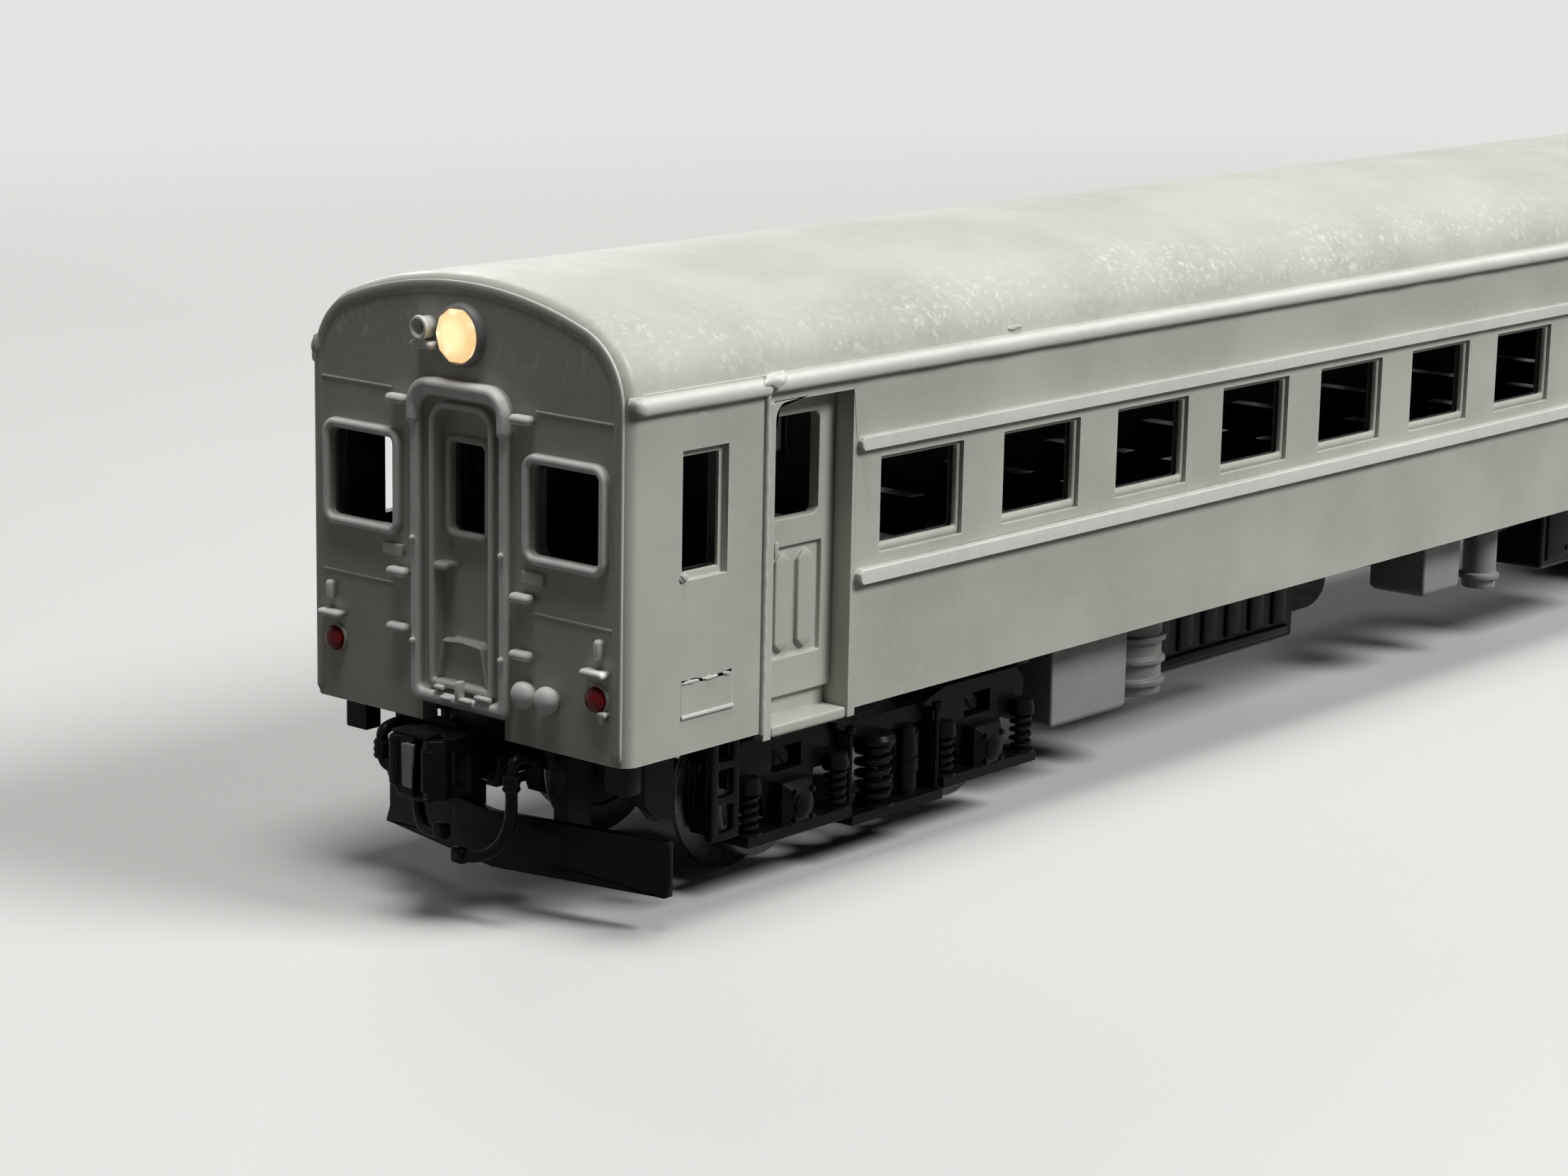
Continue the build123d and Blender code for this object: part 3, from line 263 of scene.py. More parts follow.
def curve_through(points: Sequence[Sequence[float]], steps: int = 8) -> np.ndarray:
    """A smooth line near a few control points: a uniform quadratic B-spline that starts and ends on them.

    Args:
        points: control points, in millimetres.
        steps: samples for each span.

    Returns:
        Array of samples by 3.
    """
    control = np.asarray(points, float)
    middles = (control[:-1] + control[1:]) / 2
    corners = control[1:-1]
    starts = np.concatenate([control[:1], middles[1:-1]])
    ends = np.concatenate([middles[1:-1], control[-1:]])
    t = np.linspace(0, 1, steps, endpoint=False)[None, :, None]
    spans = (1 - t) ** 2 * starts[:, None] + 2 * t * (1 - t) * corners[:, None] + t**2 * ends[:, None]
    return np.concatenate([spans.reshape(-1, 3), control[-1:]])


def rounded_block(centre: Sequence[float], size: Sequence[float], radius: float, steps: int = 3) -> Surface:
    """A box with round edges and corners.

    A point of the unit sphere in direction d goes to sign(d) * (half size - radius) + radius * d, and the
    grid of directions repeats its lines where a sign changes, so that the flat faces open between them.

    Args:
        centre: middle of the box.
        size: full size along X, Y and Z.
        radius: radius of the edges.
        steps: steps for each quarter turn.

    Returns:
        The closed box.
    """
    half = np.asarray(size, float) / 2
    radius = min(radius, 0.98 * float(half.min()))
    quarter = np.linspace(0, math.pi / 2, steps + 1)
    turn = np.concatenate([quarter + q * math.pi / 2 for q in range(4)])
    sign_x = np.repeat([1, -1, -1, 1], steps + 1)
    sign_y = np.repeat([1, 1, -1, -1], steps + 1)
    tilt = np.concatenate([quarter - math.pi / 2, quarter])
    sign_z = np.repeat([-1, 1], steps + 1)
    direction = np.stack(
        np.broadcast_arrays(
            np.cos(tilt)[:, None] * np.cos(turn)[None],
            np.cos(tilt)[:, None] * np.sin(turn)[None],
            np.sin(tilt)[:, None] * np.ones_like(turn)[None],
        ),
        -1,
    )
    signs = np.stack(
        np.broadcast_arrays(sign_x[None, :], sign_y[None, :], sign_z[:, None].astype(float)), -1
    )
    points = signs * (half - radius) + radius * direction + np.asarray(centre, float)
    shell = grid(points, wrap_v=True)
    columns, rows = len(turn), len(tilt)
    corner = np.arange(4) * (steps + 1)
    caps = np.array([corner[::-1], (rows - 1) * columns + corner])
    shell.quads = np.concatenate([shell.quads[:, ::-1], caps])
    return shell


def blocks(rows: Sequence[Block]) -> Surface:
    """Boxes with round edges as one surface, from rows of middle, full size and edge radius."""
    return joined([rounded_block(*row) for row in rows])


def repeated(surface: Surface, places: Sequence[Sequence[float]]) -> Surface:
    """Copies of a surface, moved to places (X, Y), as one."""
    return joined([surface.moved((*place, 0.0)) for place in places])


def in_row(rows: Sequence[Block], places: Sequence[float]) -> Surface:
    """Copies of a group of blocks, moved along X, as one."""
    return repeated(blocks(rows), [(place, 0.0) for place in places])


def plate(
    outline: Sequence[Sequence[float]], plane: str, level: float, depth: float, bevel: float = 0.0
) -> Surface:
    """A flat plate: an outline pushed out by a depth, with a bevelled front rim.

    The rings are the outline at the back, the outline where the bevel starts and the outline moved in by the
    bevel at the front; each point moves in along the mean of its two edges' normals.

    Args:
        outline: corners in order, as (Y, Z) for plane "X", (X, Z) for "Y" and (X, Y) for "Z".
        plane: the axis that the plate stands square to.
        level: place of its back on that axis.
        depth: signed thickness along that axis.
        bevel: width of the front bevel.

    Returns:
        The closed plate.
    """
    flat = np.asarray(outline, float)
    forward = np.roll(flat, -1, 0) - flat
    forward /= np.linalg.norm(forward, axis=1, keepdims=True)
    normal = np.stack([forward[:, 1], -forward[:, 0]], -1)
    mean = normal + np.roll(normal, 1, 0)
    mean /= (mean * normal).sum(1, keepdims=True)
    turning = np.sign(np.cross(np.roll(forward, 1, 0), forward).sum())
    inner = flat - turning * bevel * mean
    middle = flat.mean(0)[None].repeat(len(flat), 0)
    rings = [middle, flat, flat, inner, middle]
    levels = [level, level, level + depth - math.copysign(bevel, depth), level + depth, level + depth]
    points = np.zeros((5, len(flat), 3))
    a, b, c = {"X": (1, 2, 0), "Y": (0, 2, 1), "Z": (0, 1, 2)}[plane]
    for row, (ring, place) in enumerate(zip(rings, levels)):
        points[row, :, a], points[row, :, b], points[row, :, c] = ring[:, 0], ring[:, 1], place
    return grid(points, wrap_v=True)


def rounded_path(
    half_y: float, half_z: float, radius: float, steps: int = 8, straight: int = 3
) -> np.ndarray:
    """A rectangle with round corners, as one closed line.

    Each quarter of the line is a corner arc of the radius about (half_y - radius, half_z - radius), and the
    straight sides between the arcs are divided evenly.

    Args:
        half_y: half of the width.
        half_z: half of the height.
        radius: radius of the corners.
        steps: steps for each corner.
        straight: steps for each straight side.

    Returns:
        Array of n by 2, anticlockwise from the middle of the right side's upper part.
    """
    angle = np.linspace(0, math.pi / 2, steps + 1)
    arc = np.stack([np.cos(angle), np.sin(angle)], -1) * radius
    turns = np.array([[[1, 0], [0, 1]], [[0, 1], [-1, 0]], [[-1, 0], [0, -1]], [[0, -1], [1, 0]]], float)
    corners = np.array([[1, 1], [-1, 1], [-1, -1], [1, -1]]) * (half_y - radius, half_z - radius)
    arcs = corners[:, None] + np.einsum("qab,nb->qna", turns.transpose(0, 2, 1), arc)
    share = np.linspace(0, 1, straight + 1)[1:-1, None]
    following = np.roll(arcs, -1, 0)[:, 0]
    sides = arcs[:, -1][:, None] * (1 - share) + following[:, None] * share
    return np.concatenate([arcs, sides], 1).reshape(-1, 2)


def bead(
    line: np.ndarray,
    base: float,
    height: float,
    half_width: float,
    closed: bool,
    roundness: float = 0.75,
    sides: int = 10,
) -> Surface:
    """A raised moulding of rounded section along a line on an end face.

    The section is half a superellipse: across = half_width * cos(t)^p, out = height * sin(t)^p for t from 0
    to half a turn, with p the roundness, closed by a straight base; it stands square to the line. Where the
    line is open the last sections shrink to nothing, which rounds its ends.

    Args:
        line: array of n by 2, places across (Y) and up (Z).
        base: X of the face that the moulding stands on; it grows towards lower X.
        height: how far it stands proud.
        half_width: half of its width.
        closed: whether the line's end joins its start.
        roundness: exponent of the section; 1 is an ellipse, less is fuller.
        sides: steps across the section.

    Returns:
        The closed moulding.
    """
    ahead = (np.roll(line, -1, 0) - np.roll(line, 1, 0)) if closed else np.gradient(line, axis=0)
    ahead /= np.linalg.norm(ahead, axis=1, keepdims=True)
    across = np.stack([ahead[:, 1], -ahead[:, 0]], -1)
    t = np.linspace(0, math.pi, sides + 1)
    reach = half_width * np.sign(np.cos(t)) * np.abs(np.cos(t)) ** roundness
    out = height * np.abs(np.sin(t)) ** roundness
    scale = np.ones(len(line))
    if not closed:
        steps = np.concatenate([[0.0], np.cumsum(np.linalg.norm(np.diff(line, axis=0), axis=1))])
        from_end = np.minimum(steps, steps[-1] - steps) / half_width
        scale = np.sqrt(np.clip(1 - (1 - np.clip(from_end, 0, 1)) ** 2, 0, 1))
    places = line[:, None] + (scale[:, None] * reach)[..., None] * across[:, None]
    depth = base - scale[:, None] * out
    points = np.concatenate([depth[..., None], places], -1)
    sunk = points[:, [-1, 0]] + np.array([BEAD_SINK, 0.0, 0.0]) * scale[:, None, None]
    return grid(np.concatenate([points, sunk], 1), wrap_u=closed, wrap_v=True)


def coil(
    centre: Sequence[float], bottom: float, top: float, radius: float, wire: float, turns: float
) -> Surface:
    """A round wire wound into a compression spring with flat end turns.

    The middle of the wire runs round the centre at the radius; its height rises evenly, apart from the first
    and last half turns, which lie flat.

    Args:
        centre: X and Y of the spring's axis.
        bottom: height of its foot.
        top: height of its head.
        radius: radius of the winding, to the middle of the wire.
        wire: radius of the wire.
        turns: number of turns.

    Returns:
        The closed wire.
    """
    turn = np.linspace(0, turns, int(turns * COIL_STEPS) + 1)
    rise = np.interp(turn, [0, 0.5, turns - 0.5, turns], [0, 0.08, 0.92, 1])
    height = bottom + wire + (top - bottom - 2 * wire) * rise
    along, across = radius * np.cos(TURN * turn), radius * np.sin(TURN * turn)
    path = np.stack([centre[0] + along, centre[1] + across, height], -1)
    return tube(path, wire, (0, 0, 1), 8)


def lump(
    centre: Sequence[float], size: Sequence[float], roughness: float, seed: int, steps: int = 14
) -> Surface:
    """A blob of set glue or flash: an ellipsoid whose radius is varied by a few waves.

    The radius in direction d is 1 + roughness * the mean of five sines of d times a seeded vector.

    Args:
        centre: its middle.
        size: full size along X, Y and Z.
        roughness: share by which the radius varies.
        seed: seed of the waves.
        steps: steps from pole to pole.

    Returns:
        The closed blob.
    """
    waves = np.random.default_rng(seed).normal(0, 2.6, (5, 3))
    tilts, turns = np.linspace(0, math.pi, steps + 1), np.arange(2 * steps) * math.pi / steps
    tilt, turn = np.meshgrid(tilts, turns, indexing="ij")
    direction = np.stack([np.sin(tilt) * np.cos(turn), np.sin(tilt) * np.sin(turn), np.cos(tilt)], -1)
    radius = 1 + roughness * np.sin(direction @ waves.T + waves[:, 0]).mean(-1)
    return grid(np.asarray(centre) + direction * radius[..., None] * np.asarray(size) / 2, wrap_v=True)


def write_piece(name: str, surface: Surface, smooth_angle: float = 40.0) -> bpy.types.Object:
    """Puts a surface into a mesh object in metres.

    Args:
        name: the piece's name.
        surface: the points and quads.
        smooth_angle: edges that turn by less than this many degrees are shaded smooth.

    Returns:
        The linked object, at the origin.
    """
    mesh = bpy.data.meshes.new(name)
    quads = surface.quads.astype(np.int32)
    mesh.vertices.add(len(surface.points))
    mesh.vertices.foreach_set("co", (surface.points * MM).astype(np.float32).ravel())
    mesh.loops.add(quads.size)
    mesh.loops.foreach_set("vertex_index", quads.ravel())
    mesh.polygons.add(len(quads))
    mesh.polygons.foreach_set("loop_start", np.arange(0, quads.size, 4, dtype=np.int32))
    mesh.update(calc_edges=True)
    cleaned = bmesh.new()
    cleaned.from_mesh(mesh)
    bmesh.ops.remove_doubles(cleaned, verts=cleaned.verts, dist=1e-7)
    bmesh.ops.dissolve_degenerate(cleaned, edges=cleaned.edges, dist=1e-7)
    bmesh.ops.recalc_face_normals(cleaned, faces=cleaned.faces)
    cleaned.to_mesh(mesh)
    cleaned.free()
    piece = bpy.data.objects.new(name, mesh)
    bpy.context.scene.collection.objects.link(piece)
    mesh.shade_smooth()
    mesh.set_sharp_from_angle(angle=math.radians(smooth_angle))
    return piece


# Finishes.


class NodePen:
    """Adds and links shader nodes in one material."""

    def __init__(self, name: str) -> None:
        """Starts an empty node tree with a Principled shader and an output.

        Args:
            name: the material's name.
        """
        self.material = bpy.data.materials.new(name)
        self.material.use_nodes = True
        self.tree = self.material.node_tree
        self.tree.nodes.clear()
        self.shader = self.tree.nodes.new("ShaderNodeBsdfPrincipled")
        output = self.tree.nodes.new("ShaderNodeOutputMaterial")
        self.tree.links.new(self.shader.outputs[0], output.inputs[0])
        self.place = self.tree.nodes.new("ShaderNodeTexCoord").outputs["Object"]

    def node(self, kind: str, links: dict | None = None, **settings: object) -> bpy.types.Node:
        """Adds a node.

        Args:
            kind: Blender's name of the node type.
            links: socket name or number to a value or an output socket.
            **settings: the node's own properties.

        Returns:
            The new node.
        """
        made = self.tree.nodes.new(kind)
        for key, value in settings.items():
            setattr(made, key, value)
        for key, value in (links or {}).items():
            self.feed(made.inputs[key], value)
        return made

    def feed(self, socket: Socket, value: object) -> None:
        """Links an output to a socket, or sets the socket's own value.

        Args:
            socket: the input.
            value: an output socket, a number or a colour.
        """
        if isinstance(value, Socket):
            self.tree.links.new(value, socket)
        else:
            socket.default_value = value

    def set(self, **values: object) -> None:
        """Sets or links inputs of the shader; underscores stand for spaces."""
        for key, value in values.items():
            self.feed(self.shader.inputs[key.replace("_", " ")], value)

    def math(self, operation: str, *values: object, clamp: bool = False) -> Socket:
        """One Math node over sockets or numbers."""
        links = dict(enumerate(values))
        return self.node("ShaderNodeMath", links, operation=operation, use_clamp=clamp).outputs[0]

    def noise(
        self, scale: float, detail: float = 4.0, stretch: Sequence[float] = (1, 1, 1), roughness: float = 0.55
    ) -> Socket:
        """Noise over object coordinates.

        Args:
            scale: features for each millimetre.
            detail: octaves.
            stretch: share of the scale along X, Y and Z.
            roughness: weight of the fine octaves.

        Returns:
            The noise value, from 0 to 1.
        """
        mapped = self.node("ShaderNodeMapping", {"Vector": self.place, "Scale": stretch})
        links = {"Vector": mapped.outputs[0], "Scale": scale / MM, "Detail": detail, "Roughness": roughness}
        return self.node("ShaderNodeTexNoise", links).outputs["Fac"]

    def all_of(self, share: object, *others: object) -> Socket:
        """The product of several shares, which is 1 only where all of them are.

        Args:
            share: the first share.
            *others: the others, as sockets or numbers.

        Returns:
            The product.
        """
        for other in others:
            share = self.math("MULTIPLY", share, other)
        return share

    def distance(self, first: object, second: object) -> Socket:
        """The root of the sum of two squares."""
        squares = [self.math("POWER", value, 2.0) for value in (first, second)]
        return self.math("SQRT", self.math("ADD", *squares))

    def ramp(
        self, value: Socket, low: float, high: float, to_low: float = 0.0, to_high: float = 1.0
    ) -> Socket:
        """A value mapped from one range to another, held at its ends."""
        links = {0: value, 1: low, 2: high, 3: to_low, 4: to_high}
        return self.node("ShaderNodeMapRange", links, interpolation_type="SMOOTHSTEP").outputs[0]

    def blend(self, share: object, first: object, second: object) -> Socket:
        """Two colours mixed by a share.

        Args:
            share: share of the second colour.
            first: the first colour, as a socket or four numbers.
            second: the second colour.

        Returns:
            The mixed colour.
        """
        mixed = self.node("ShaderNodeMix", data_type="RGBA")
        for socket, value in ((mixed.inputs[0], share), (mixed.inputs[6], first), (mixed.inputs[7], second)):
            self.feed(socket, value)
        return mixed.outputs[2]

    def axis(self, name: str) -> Socket:
        """One of the object coordinates X, Y, Z, in metres."""
        return self.node("ShaderNodeSeparateXYZ", {0: self.place}).outputs[name]

    def inside(self) -> Socket:
        """Finds where shade is painted on the car's inside: within the walls, behind the doors and under the
        arch.

        The reveals of the end windows and of the end door's window get painted shade, which deepens over a
        short depth.

        Returns:
            Share of painted shade at a point.
        """
        place = self.node("ShaderNodeSeparateXYZ", {0: self.place})
        along, across = (self.math("ABSOLUTE", place.outputs[name]) for name in "XY")
        height = place.outputs["Z"]
        beyond = self.math("GREATER_THAN", along, (DOOR_SPAN[0] - DOOR_MARGIN) * MM)
        before = self.math("LESS_THAN", along, (DOOR_SPAN[1] + DOOR_MARGIN) * MM)
        at_door = self.math("MULTIPLY", beyond, before)
        limit = self.math("MULTIPLY_ADD", at_door, (DOOR_INNER - WALL_INNER) * MM, WALL_INNER * MM)
        within = self.math("LESS_THAN", across, limit)
        radius = self.distance(across, self.math("SUBTRACT", height, CROWN_CENTRE * MM))
        under_arch = self.math("LESS_THAN", radius, CROWN_INNER * MM)
        behind_face = self.math("LESS_THAN", along, (-FACE - FACE_WALL) * MM)
        deep = self.all_of(within, under_arch, behind_face)
        below = self.math("LESS_THAN", height, REVEAL_TOP * MM)
        beside_door = self.math("GREATER_THAN", across, DOORWAY_HALF * MM)
        fade = self.ramp(along, *((-FACE - depth) * MM for depth in REVEAL_FADE), 0.0, REVEAL_SHADE)
        reveal = self.all_of(within, below, beside_door, fade)
        pane_side = self.math("LESS_THAN", across, PANE_HALF * MM)
        from_middle = self.math("ABSOLUTE", self.math("SUBTRACT", height, PANE_MIDDLE * MM))
        pane_rise = self.math("LESS_THAN", from_middle, PANE_RISE * MM)
        pane_fade = self.ramp(along, *((-FACE - depth) * MM for depth in PANE_FADE), 0.0, REVEAL_SHADE)
        pane = self.all_of(pane_side, pane_rise, pane_fade)
        return self.math("MAXIMUM", deep, self.math("MAXIMUM", reveal, pane))

    def proud(self) -> Socket:
        """Finds what stands proud of the walls, for the painted highlight: all over an end face, half as much
        over a side.

        Returns:
            Share by which a point stands proud.
        """
        place = self.node("ShaderNodeSeparateXYZ", {0: self.place})
        along, across = (self.math("ABSOLUTE", place.outputs[name]) for name in "XY")
        at_end = self.ramp(along, (-FACE + 0.08) * MM, (-FACE + 0.32) * MM)
        at_side = self.ramp(across, (HALF_WIDTH + 0.03) * MM, (HALF_WIDTH + 0.4) * MM, 0.0, 0.45)
        return self.math("MAXIMUM", at_end, at_side)

    def edges(self, width: float) -> Socket:
        """Finds edges, where the surface turns.

        Args:
            width: distance over which it turns, in millimetres.

        Returns:
            Share of edge at a point: 0 on a flat.
        """
        soft = self.node("ShaderNodeBevel", {"Radius": width * MM}, samples=4).outputs[0]
        hard = self.node("ShaderNodeNewGeometry").outputs["Normal"]
        same = self.node("ShaderNodeVectorMath", {0: soft, 1: hard}, operation="DOT_PRODUCT").outputs["Value"]
        return self.math("SUBTRACT", 1.0, same, clamp=True)


def rgba(colour: Sequence[float]) -> tuple[float, float, float, float]:
    """A linear colour with full cover."""
    return (colour[0], colour[1], colour[2], 1.0)


@dataclass(frozen=True)
class MouldedPlastic:
    """Unpainted moulded plastic: slight cloudiness, sanding marks along the car, pale edges that are partly
    handling marks, partly painted highlight.

    Attributes:
        name: the material's name.
        colour: linear base colour.
        cloud: share by which the colour drifts.
        roughness: mean roughness.
        grain: height of the surface grain, in millimetres.
        sanding: height of the sanding marks, in millimetres.
        edge: how far edges go towards the pale colour.
        pale: linear colour of rubbed edges and solvent bloom.
        bloom: how strongly the roof shows solvent bloom.
        bloom_foot: heights between which the bloom starts.
        bloom_crown: heights between which it ends, the upper one first.
        painted_inside_shade: whether shade is painted on the car's inside and on its window reveals.
        shade: linear colour of that painted shade.
        gloss: strength of its reflections; 0.5 is plain plastic.
        proud_highlight: how far mouldings that stand proud of the car's walls are lightened towards the pale
            colour, as a painted highlight.
    """

    name: str
    colour: Triple
    cloud: float = 0.05
    roughness: float = 0.44
    grain: float = 0.006
    sanding: float = 0.003
    # edge: how far edges go towards the pale colour; partly handling marks, partly painted highlight.
    edge: float = 0.25
    # pale: linear colour of the pale edges, of the solvent bloom and of the painted highlight on proud
    # mouldings.
    pale: Triple = (0.62, 0.62, 0.59)
    bloom: float = 0.0
    bloom_foot: Pair = (23.4, 24.3)
    bloom_crown: Pair = (27.1, 25.6)
    painted_inside_shade: bool = False
    shade: Triple = (0.008, 0.008, 0.008)
    gloss: float = 0.5
    proud_highlight: float = 0.0

    def bloom_cover(self, pen: NodePen) -> Socket:
        """Spreads the solvent bloom over the roof's flanks, in patches of flecks and spots.

        Args:
            pen: the material's pen.

        Returns:
            Share of bloom at a point.
        """
        rise, fall = (
            pen.ramp(pen.axis("Z"), low * MM, high * MM) for low, high in (self.bloom_foot, self.bloom_crown)
        )
        patch = pen.ramp(pen.noise(0.22, 5.0, stretch=(0.7, 1.0, 1.0), roughness=0.65), 0.42, 0.62, 0.25, 1.0)
        fleck = pen.ramp(pen.noise(2.6, 5.0, roughness=0.7), 0.5, 0.68)
        spots = pen.ramp(pen.noise(1.1, 4.0, roughness=0.6), 0.62, 0.7)
        return pen.all_of(rise, fall, patch, pen.math("MAXIMUM", fleck, spots))

    def build(self) -> bpy.types.Material:
        """Makes the material from its nodes.

        Returns:
            The material.
        """
        pen = NodePen(self.name)
        speckle = pen.noise(2.2, 5.0)
        tones = (1 - 2 * self.cloud, 1 + 2 * self.cloud)
        dark, light = (rgba([c * tone for c in self.colour]) for tone in tones)
        pale = rgba(self.pale)
        base = pen.blend(pen.ramp(pen.noise(0.12, 3.0), 0.3, 0.7), dark, light)
        base = pen.blend(pen.ramp(speckle, 0.35, 0.75, 0.0, 0.35), base, light)
        if self.bloom:
            base = pen.blend(pen.all_of(self.bloom_cover(pen), self.bloom), base, pale)
        # Painted highlight: mouldings that stand proud of the walls are lightened towards the pale colour,
        # broken up by noise.
        if self.proud_highlight:
            highlight_breakup = pen.ramp(pen.noise(1.7, 4.0), 0.3, 0.6, 0.86, 1.0)
            base = pen.blend(pen.all_of(pen.proud(), highlight_breakup, self.proud_highlight), base, pale)
        # Painted shade: the car's inside and the window reveals are darkened to the shade colour.
        if self.painted_inside_shade:
            base = pen.blend(pen.inside(), base, rgba(self.shade))
        # Pale edges: partly handling marks, partly painted highlight.
        edges = pen.ramp(pen.edges(0.12), 0.02, 0.2)
        base = pen.blend(pen.all_of(edges, pen.ramp(speckle, 0.3, 0.6, 0.5, 1.0), self.edge), base, pale)
        pen.set(Base_Color=base, Specular_IOR_Level=self.gloss)
        smooth, rough = self.roughness - 0.07, self.roughness + 0.09
        pen.set(Roughness=pen.ramp(pen.noise(0.7, 4.0), 0.3, 0.7, smooth, rough))
        grain = pen.all_of(pen.noise(6.0, 3.0), self.grain)
        marks = pen.all_of(pen.noise(1.4, 4.0, stretch=(0.06, 1.0, 1.0)), self.sanding)
        relief = pen.math("ADD", grain, marks)
        bump = pen.node("ShaderNodeBump", {"Strength": 1.0, "Distance": MM, "Height": relief})
        pen.set(Normal=bump.outputs[0])
        return pen.material


@dataclass(frozen=True)
class WarmLens:
    """A lit clear lens: bright near its middle, orange at its rim, broken up by moulded facets.

    Attributes:
        name: the material's name.
        height: height of the lens's middle above the rails' base, in millimetres.
        radius: radius at which the rim colour is reached.
        middle: linear colour of its light in the middle.
        rim: linear colour of its light at the rim.
        spot: linear colour of the brightest facets.
        unlit: linear colour of the plastic itself.
        strength: strength of the light that it gives.
    """

    name: str
    height: float
    radius: float
    middle: Triple = (1.0, 0.90, 0.46)
    rim: Triple = (0.93, 0.60, 0.27)
    spot: Triple = (1.0, 1.0, 0.68)
    unlit: Triple = (0.3, 0.22, 0.13)
    strength: float = 1.0

    def build(self) -> bpy.types.Material:
        """Makes the material from its nodes.

        Returns:
            The material.
        """
        pen = NodePen(self.name)
        out = pen.distance(pen.math("SUBTRACT", pen.axis("Z"), self.height * MM), pen.axis("Y"))
        rim = pen.ramp(out, 0.35 * self.radius * MM, self.radius * MM)
        cells = {"Vector": pen.place, "Scale": 1.6 / MM}
        facets = pen.node("ShaderNodeTexVoronoi", cells, feature="SMOOTH_F1")
        spots = pen.ramp(facets.outputs["Distance"], 0.1, 0.42, 0.85, 0.0)
        glow = pen.blend(spots, pen.blend(rim, rgba(self.middle), rgba(self.rim)), rgba(self.spot))
        pen.set(Base_Color=rgba(self.unlit), Roughness=0.12)
        pen.set(Emission_Color=glow, Emission_Strength=self.strength)
        return pen.material


@dataclass(frozen=True)
class ClearRed:
    """Glossy translucent red plastic, dark at its rim.

    Attributes:
        name: the material's name.
        colour: linear colour in its middle.
    """

    name: str
    colour: Triple

    def build(self) -> bpy.types.Material:
        """Makes the material from its nodes.

        Returns:
            The material.
        """
        pen = NodePen(self.name)
        facing = pen.node("ShaderNodeLayerWeight", {"Blend": 0.35}).outputs["Facing"]
        deep, bright = (rgba([min(1.0, c * share) for c in self.colour]) for share in (0.25, 1.8))
        base = pen.blend(facing, rgba(self.colour), deep)
        base = pen.blend(pen.ramp(pen.noise(2.5, 3.0), 0.45, 0.6, 0.0, 0.3), base, bright)
        pen.set(Base_Color=base, Roughness=0.25, Specular_IOR_Level=0.15)
        return pen.material


@dataclass(frozen=True)
class TurnedMetal:
    """Blackened or plain turned metal with fine turning rings and worn running faces.

    Attributes:
        name: the material's name.
        colour: linear colour.
        bright: linear colour where it is worn.
        roughness: mean roughness.
    """

    name: str
    colour: Triple
    bright: Triple
    roughness: float

    def build(self) -> bpy.types.Material:
        """Makes the material from its nodes.

        Returns:
            The material.
        """
        pen = NodePen(self.name)
        stain = pen.ramp(pen.noise(0.8, 5.0, roughness=0.7), 0.35, 0.7)
        worn = pen.all_of(pen.ramp(pen.edges(0.15), 0.05, 0.3), 0.8)
        base = pen.blend(stain, rgba(self.colour), rgba([c * 1.35 for c in self.colour]))
        base = pen.blend(worn, base, rgba(self.bright))
        rough = pen.ramp(pen.noise(3.0, 4.0), 0.3, 0.7, self.roughness - 0.1, self.roughness + 0.12)
        rings = pen.all_of(pen.noise(9.0, 2.0), 0.004)
        bump = pen.node("ShaderNodeBump", {"Strength": 0.6, "Distance": MM, "Height": rings})
        pen.set(Base_Color=base, Metallic=0.9, Roughness=rough, Normal=bump.outputs[0])
        return pen.material


@dataclass(frozen=True)
class PaleFloor:
    """A plain matt floor: pale to the camera and in reflections, even far off, with little bounced light.

    Attributes:
        name: the material's name.
        colour: linear colour where the lamps light it.
        glow: linear colour far off, beyond the lamps.
        near: distance from the middle, in millimetres, at which the far colour starts.
        far: distance at which it is reached.
        bounce: share of the colour that lights the car's underside.
    """

    name: str = "pale_floor"
    colour: Triple = (0.60, 0.60, 0.585)
    glow: Triple = (0.78, 0.78, 0.765)
    near: float = 130.0
    far: float = 360.0
    bounce: float = 0.075

    def build(self) -> bpy.types.Material:
        """Makes the material from its nodes.

        Returns:
            The material.
        """
        pen = NodePen(self.name)
        darker, lighter = (rgba([c * share for c in self.colour]) for share in (0.98, 1.02))
        tone = pen.blend(pen.noise(0.02, 3.0), darker, lighter)
        path = pen.node("ShaderNodeLightPath").outputs
        reflected = pen.math("MAXIMUM", path["Is Glossy Ray"], path["Is Transmission Ray"])
        seen = pen.math("MAXIMUM", path["Is Camera Ray"], reflected)
        away = pen.distance(pen.axis("X"), pen.axis("Y"))
        far = pen.all_of(pen.ramp(away, self.near * MM, self.far * MM), seen)
        base = pen.blend(seen, rgba([c * self.bounce for c in self.colour]), tone)
        base = pen.blend(far, base, rgba((0.0, 0.0, 0.0)))
        pen.set(Base_Color=base, Roughness=0.85, Specular_IOR_Level=0.0)
        pen.set(Emission_Color=rgba(self.glow), Emission_Strength=far)
        return pen.material


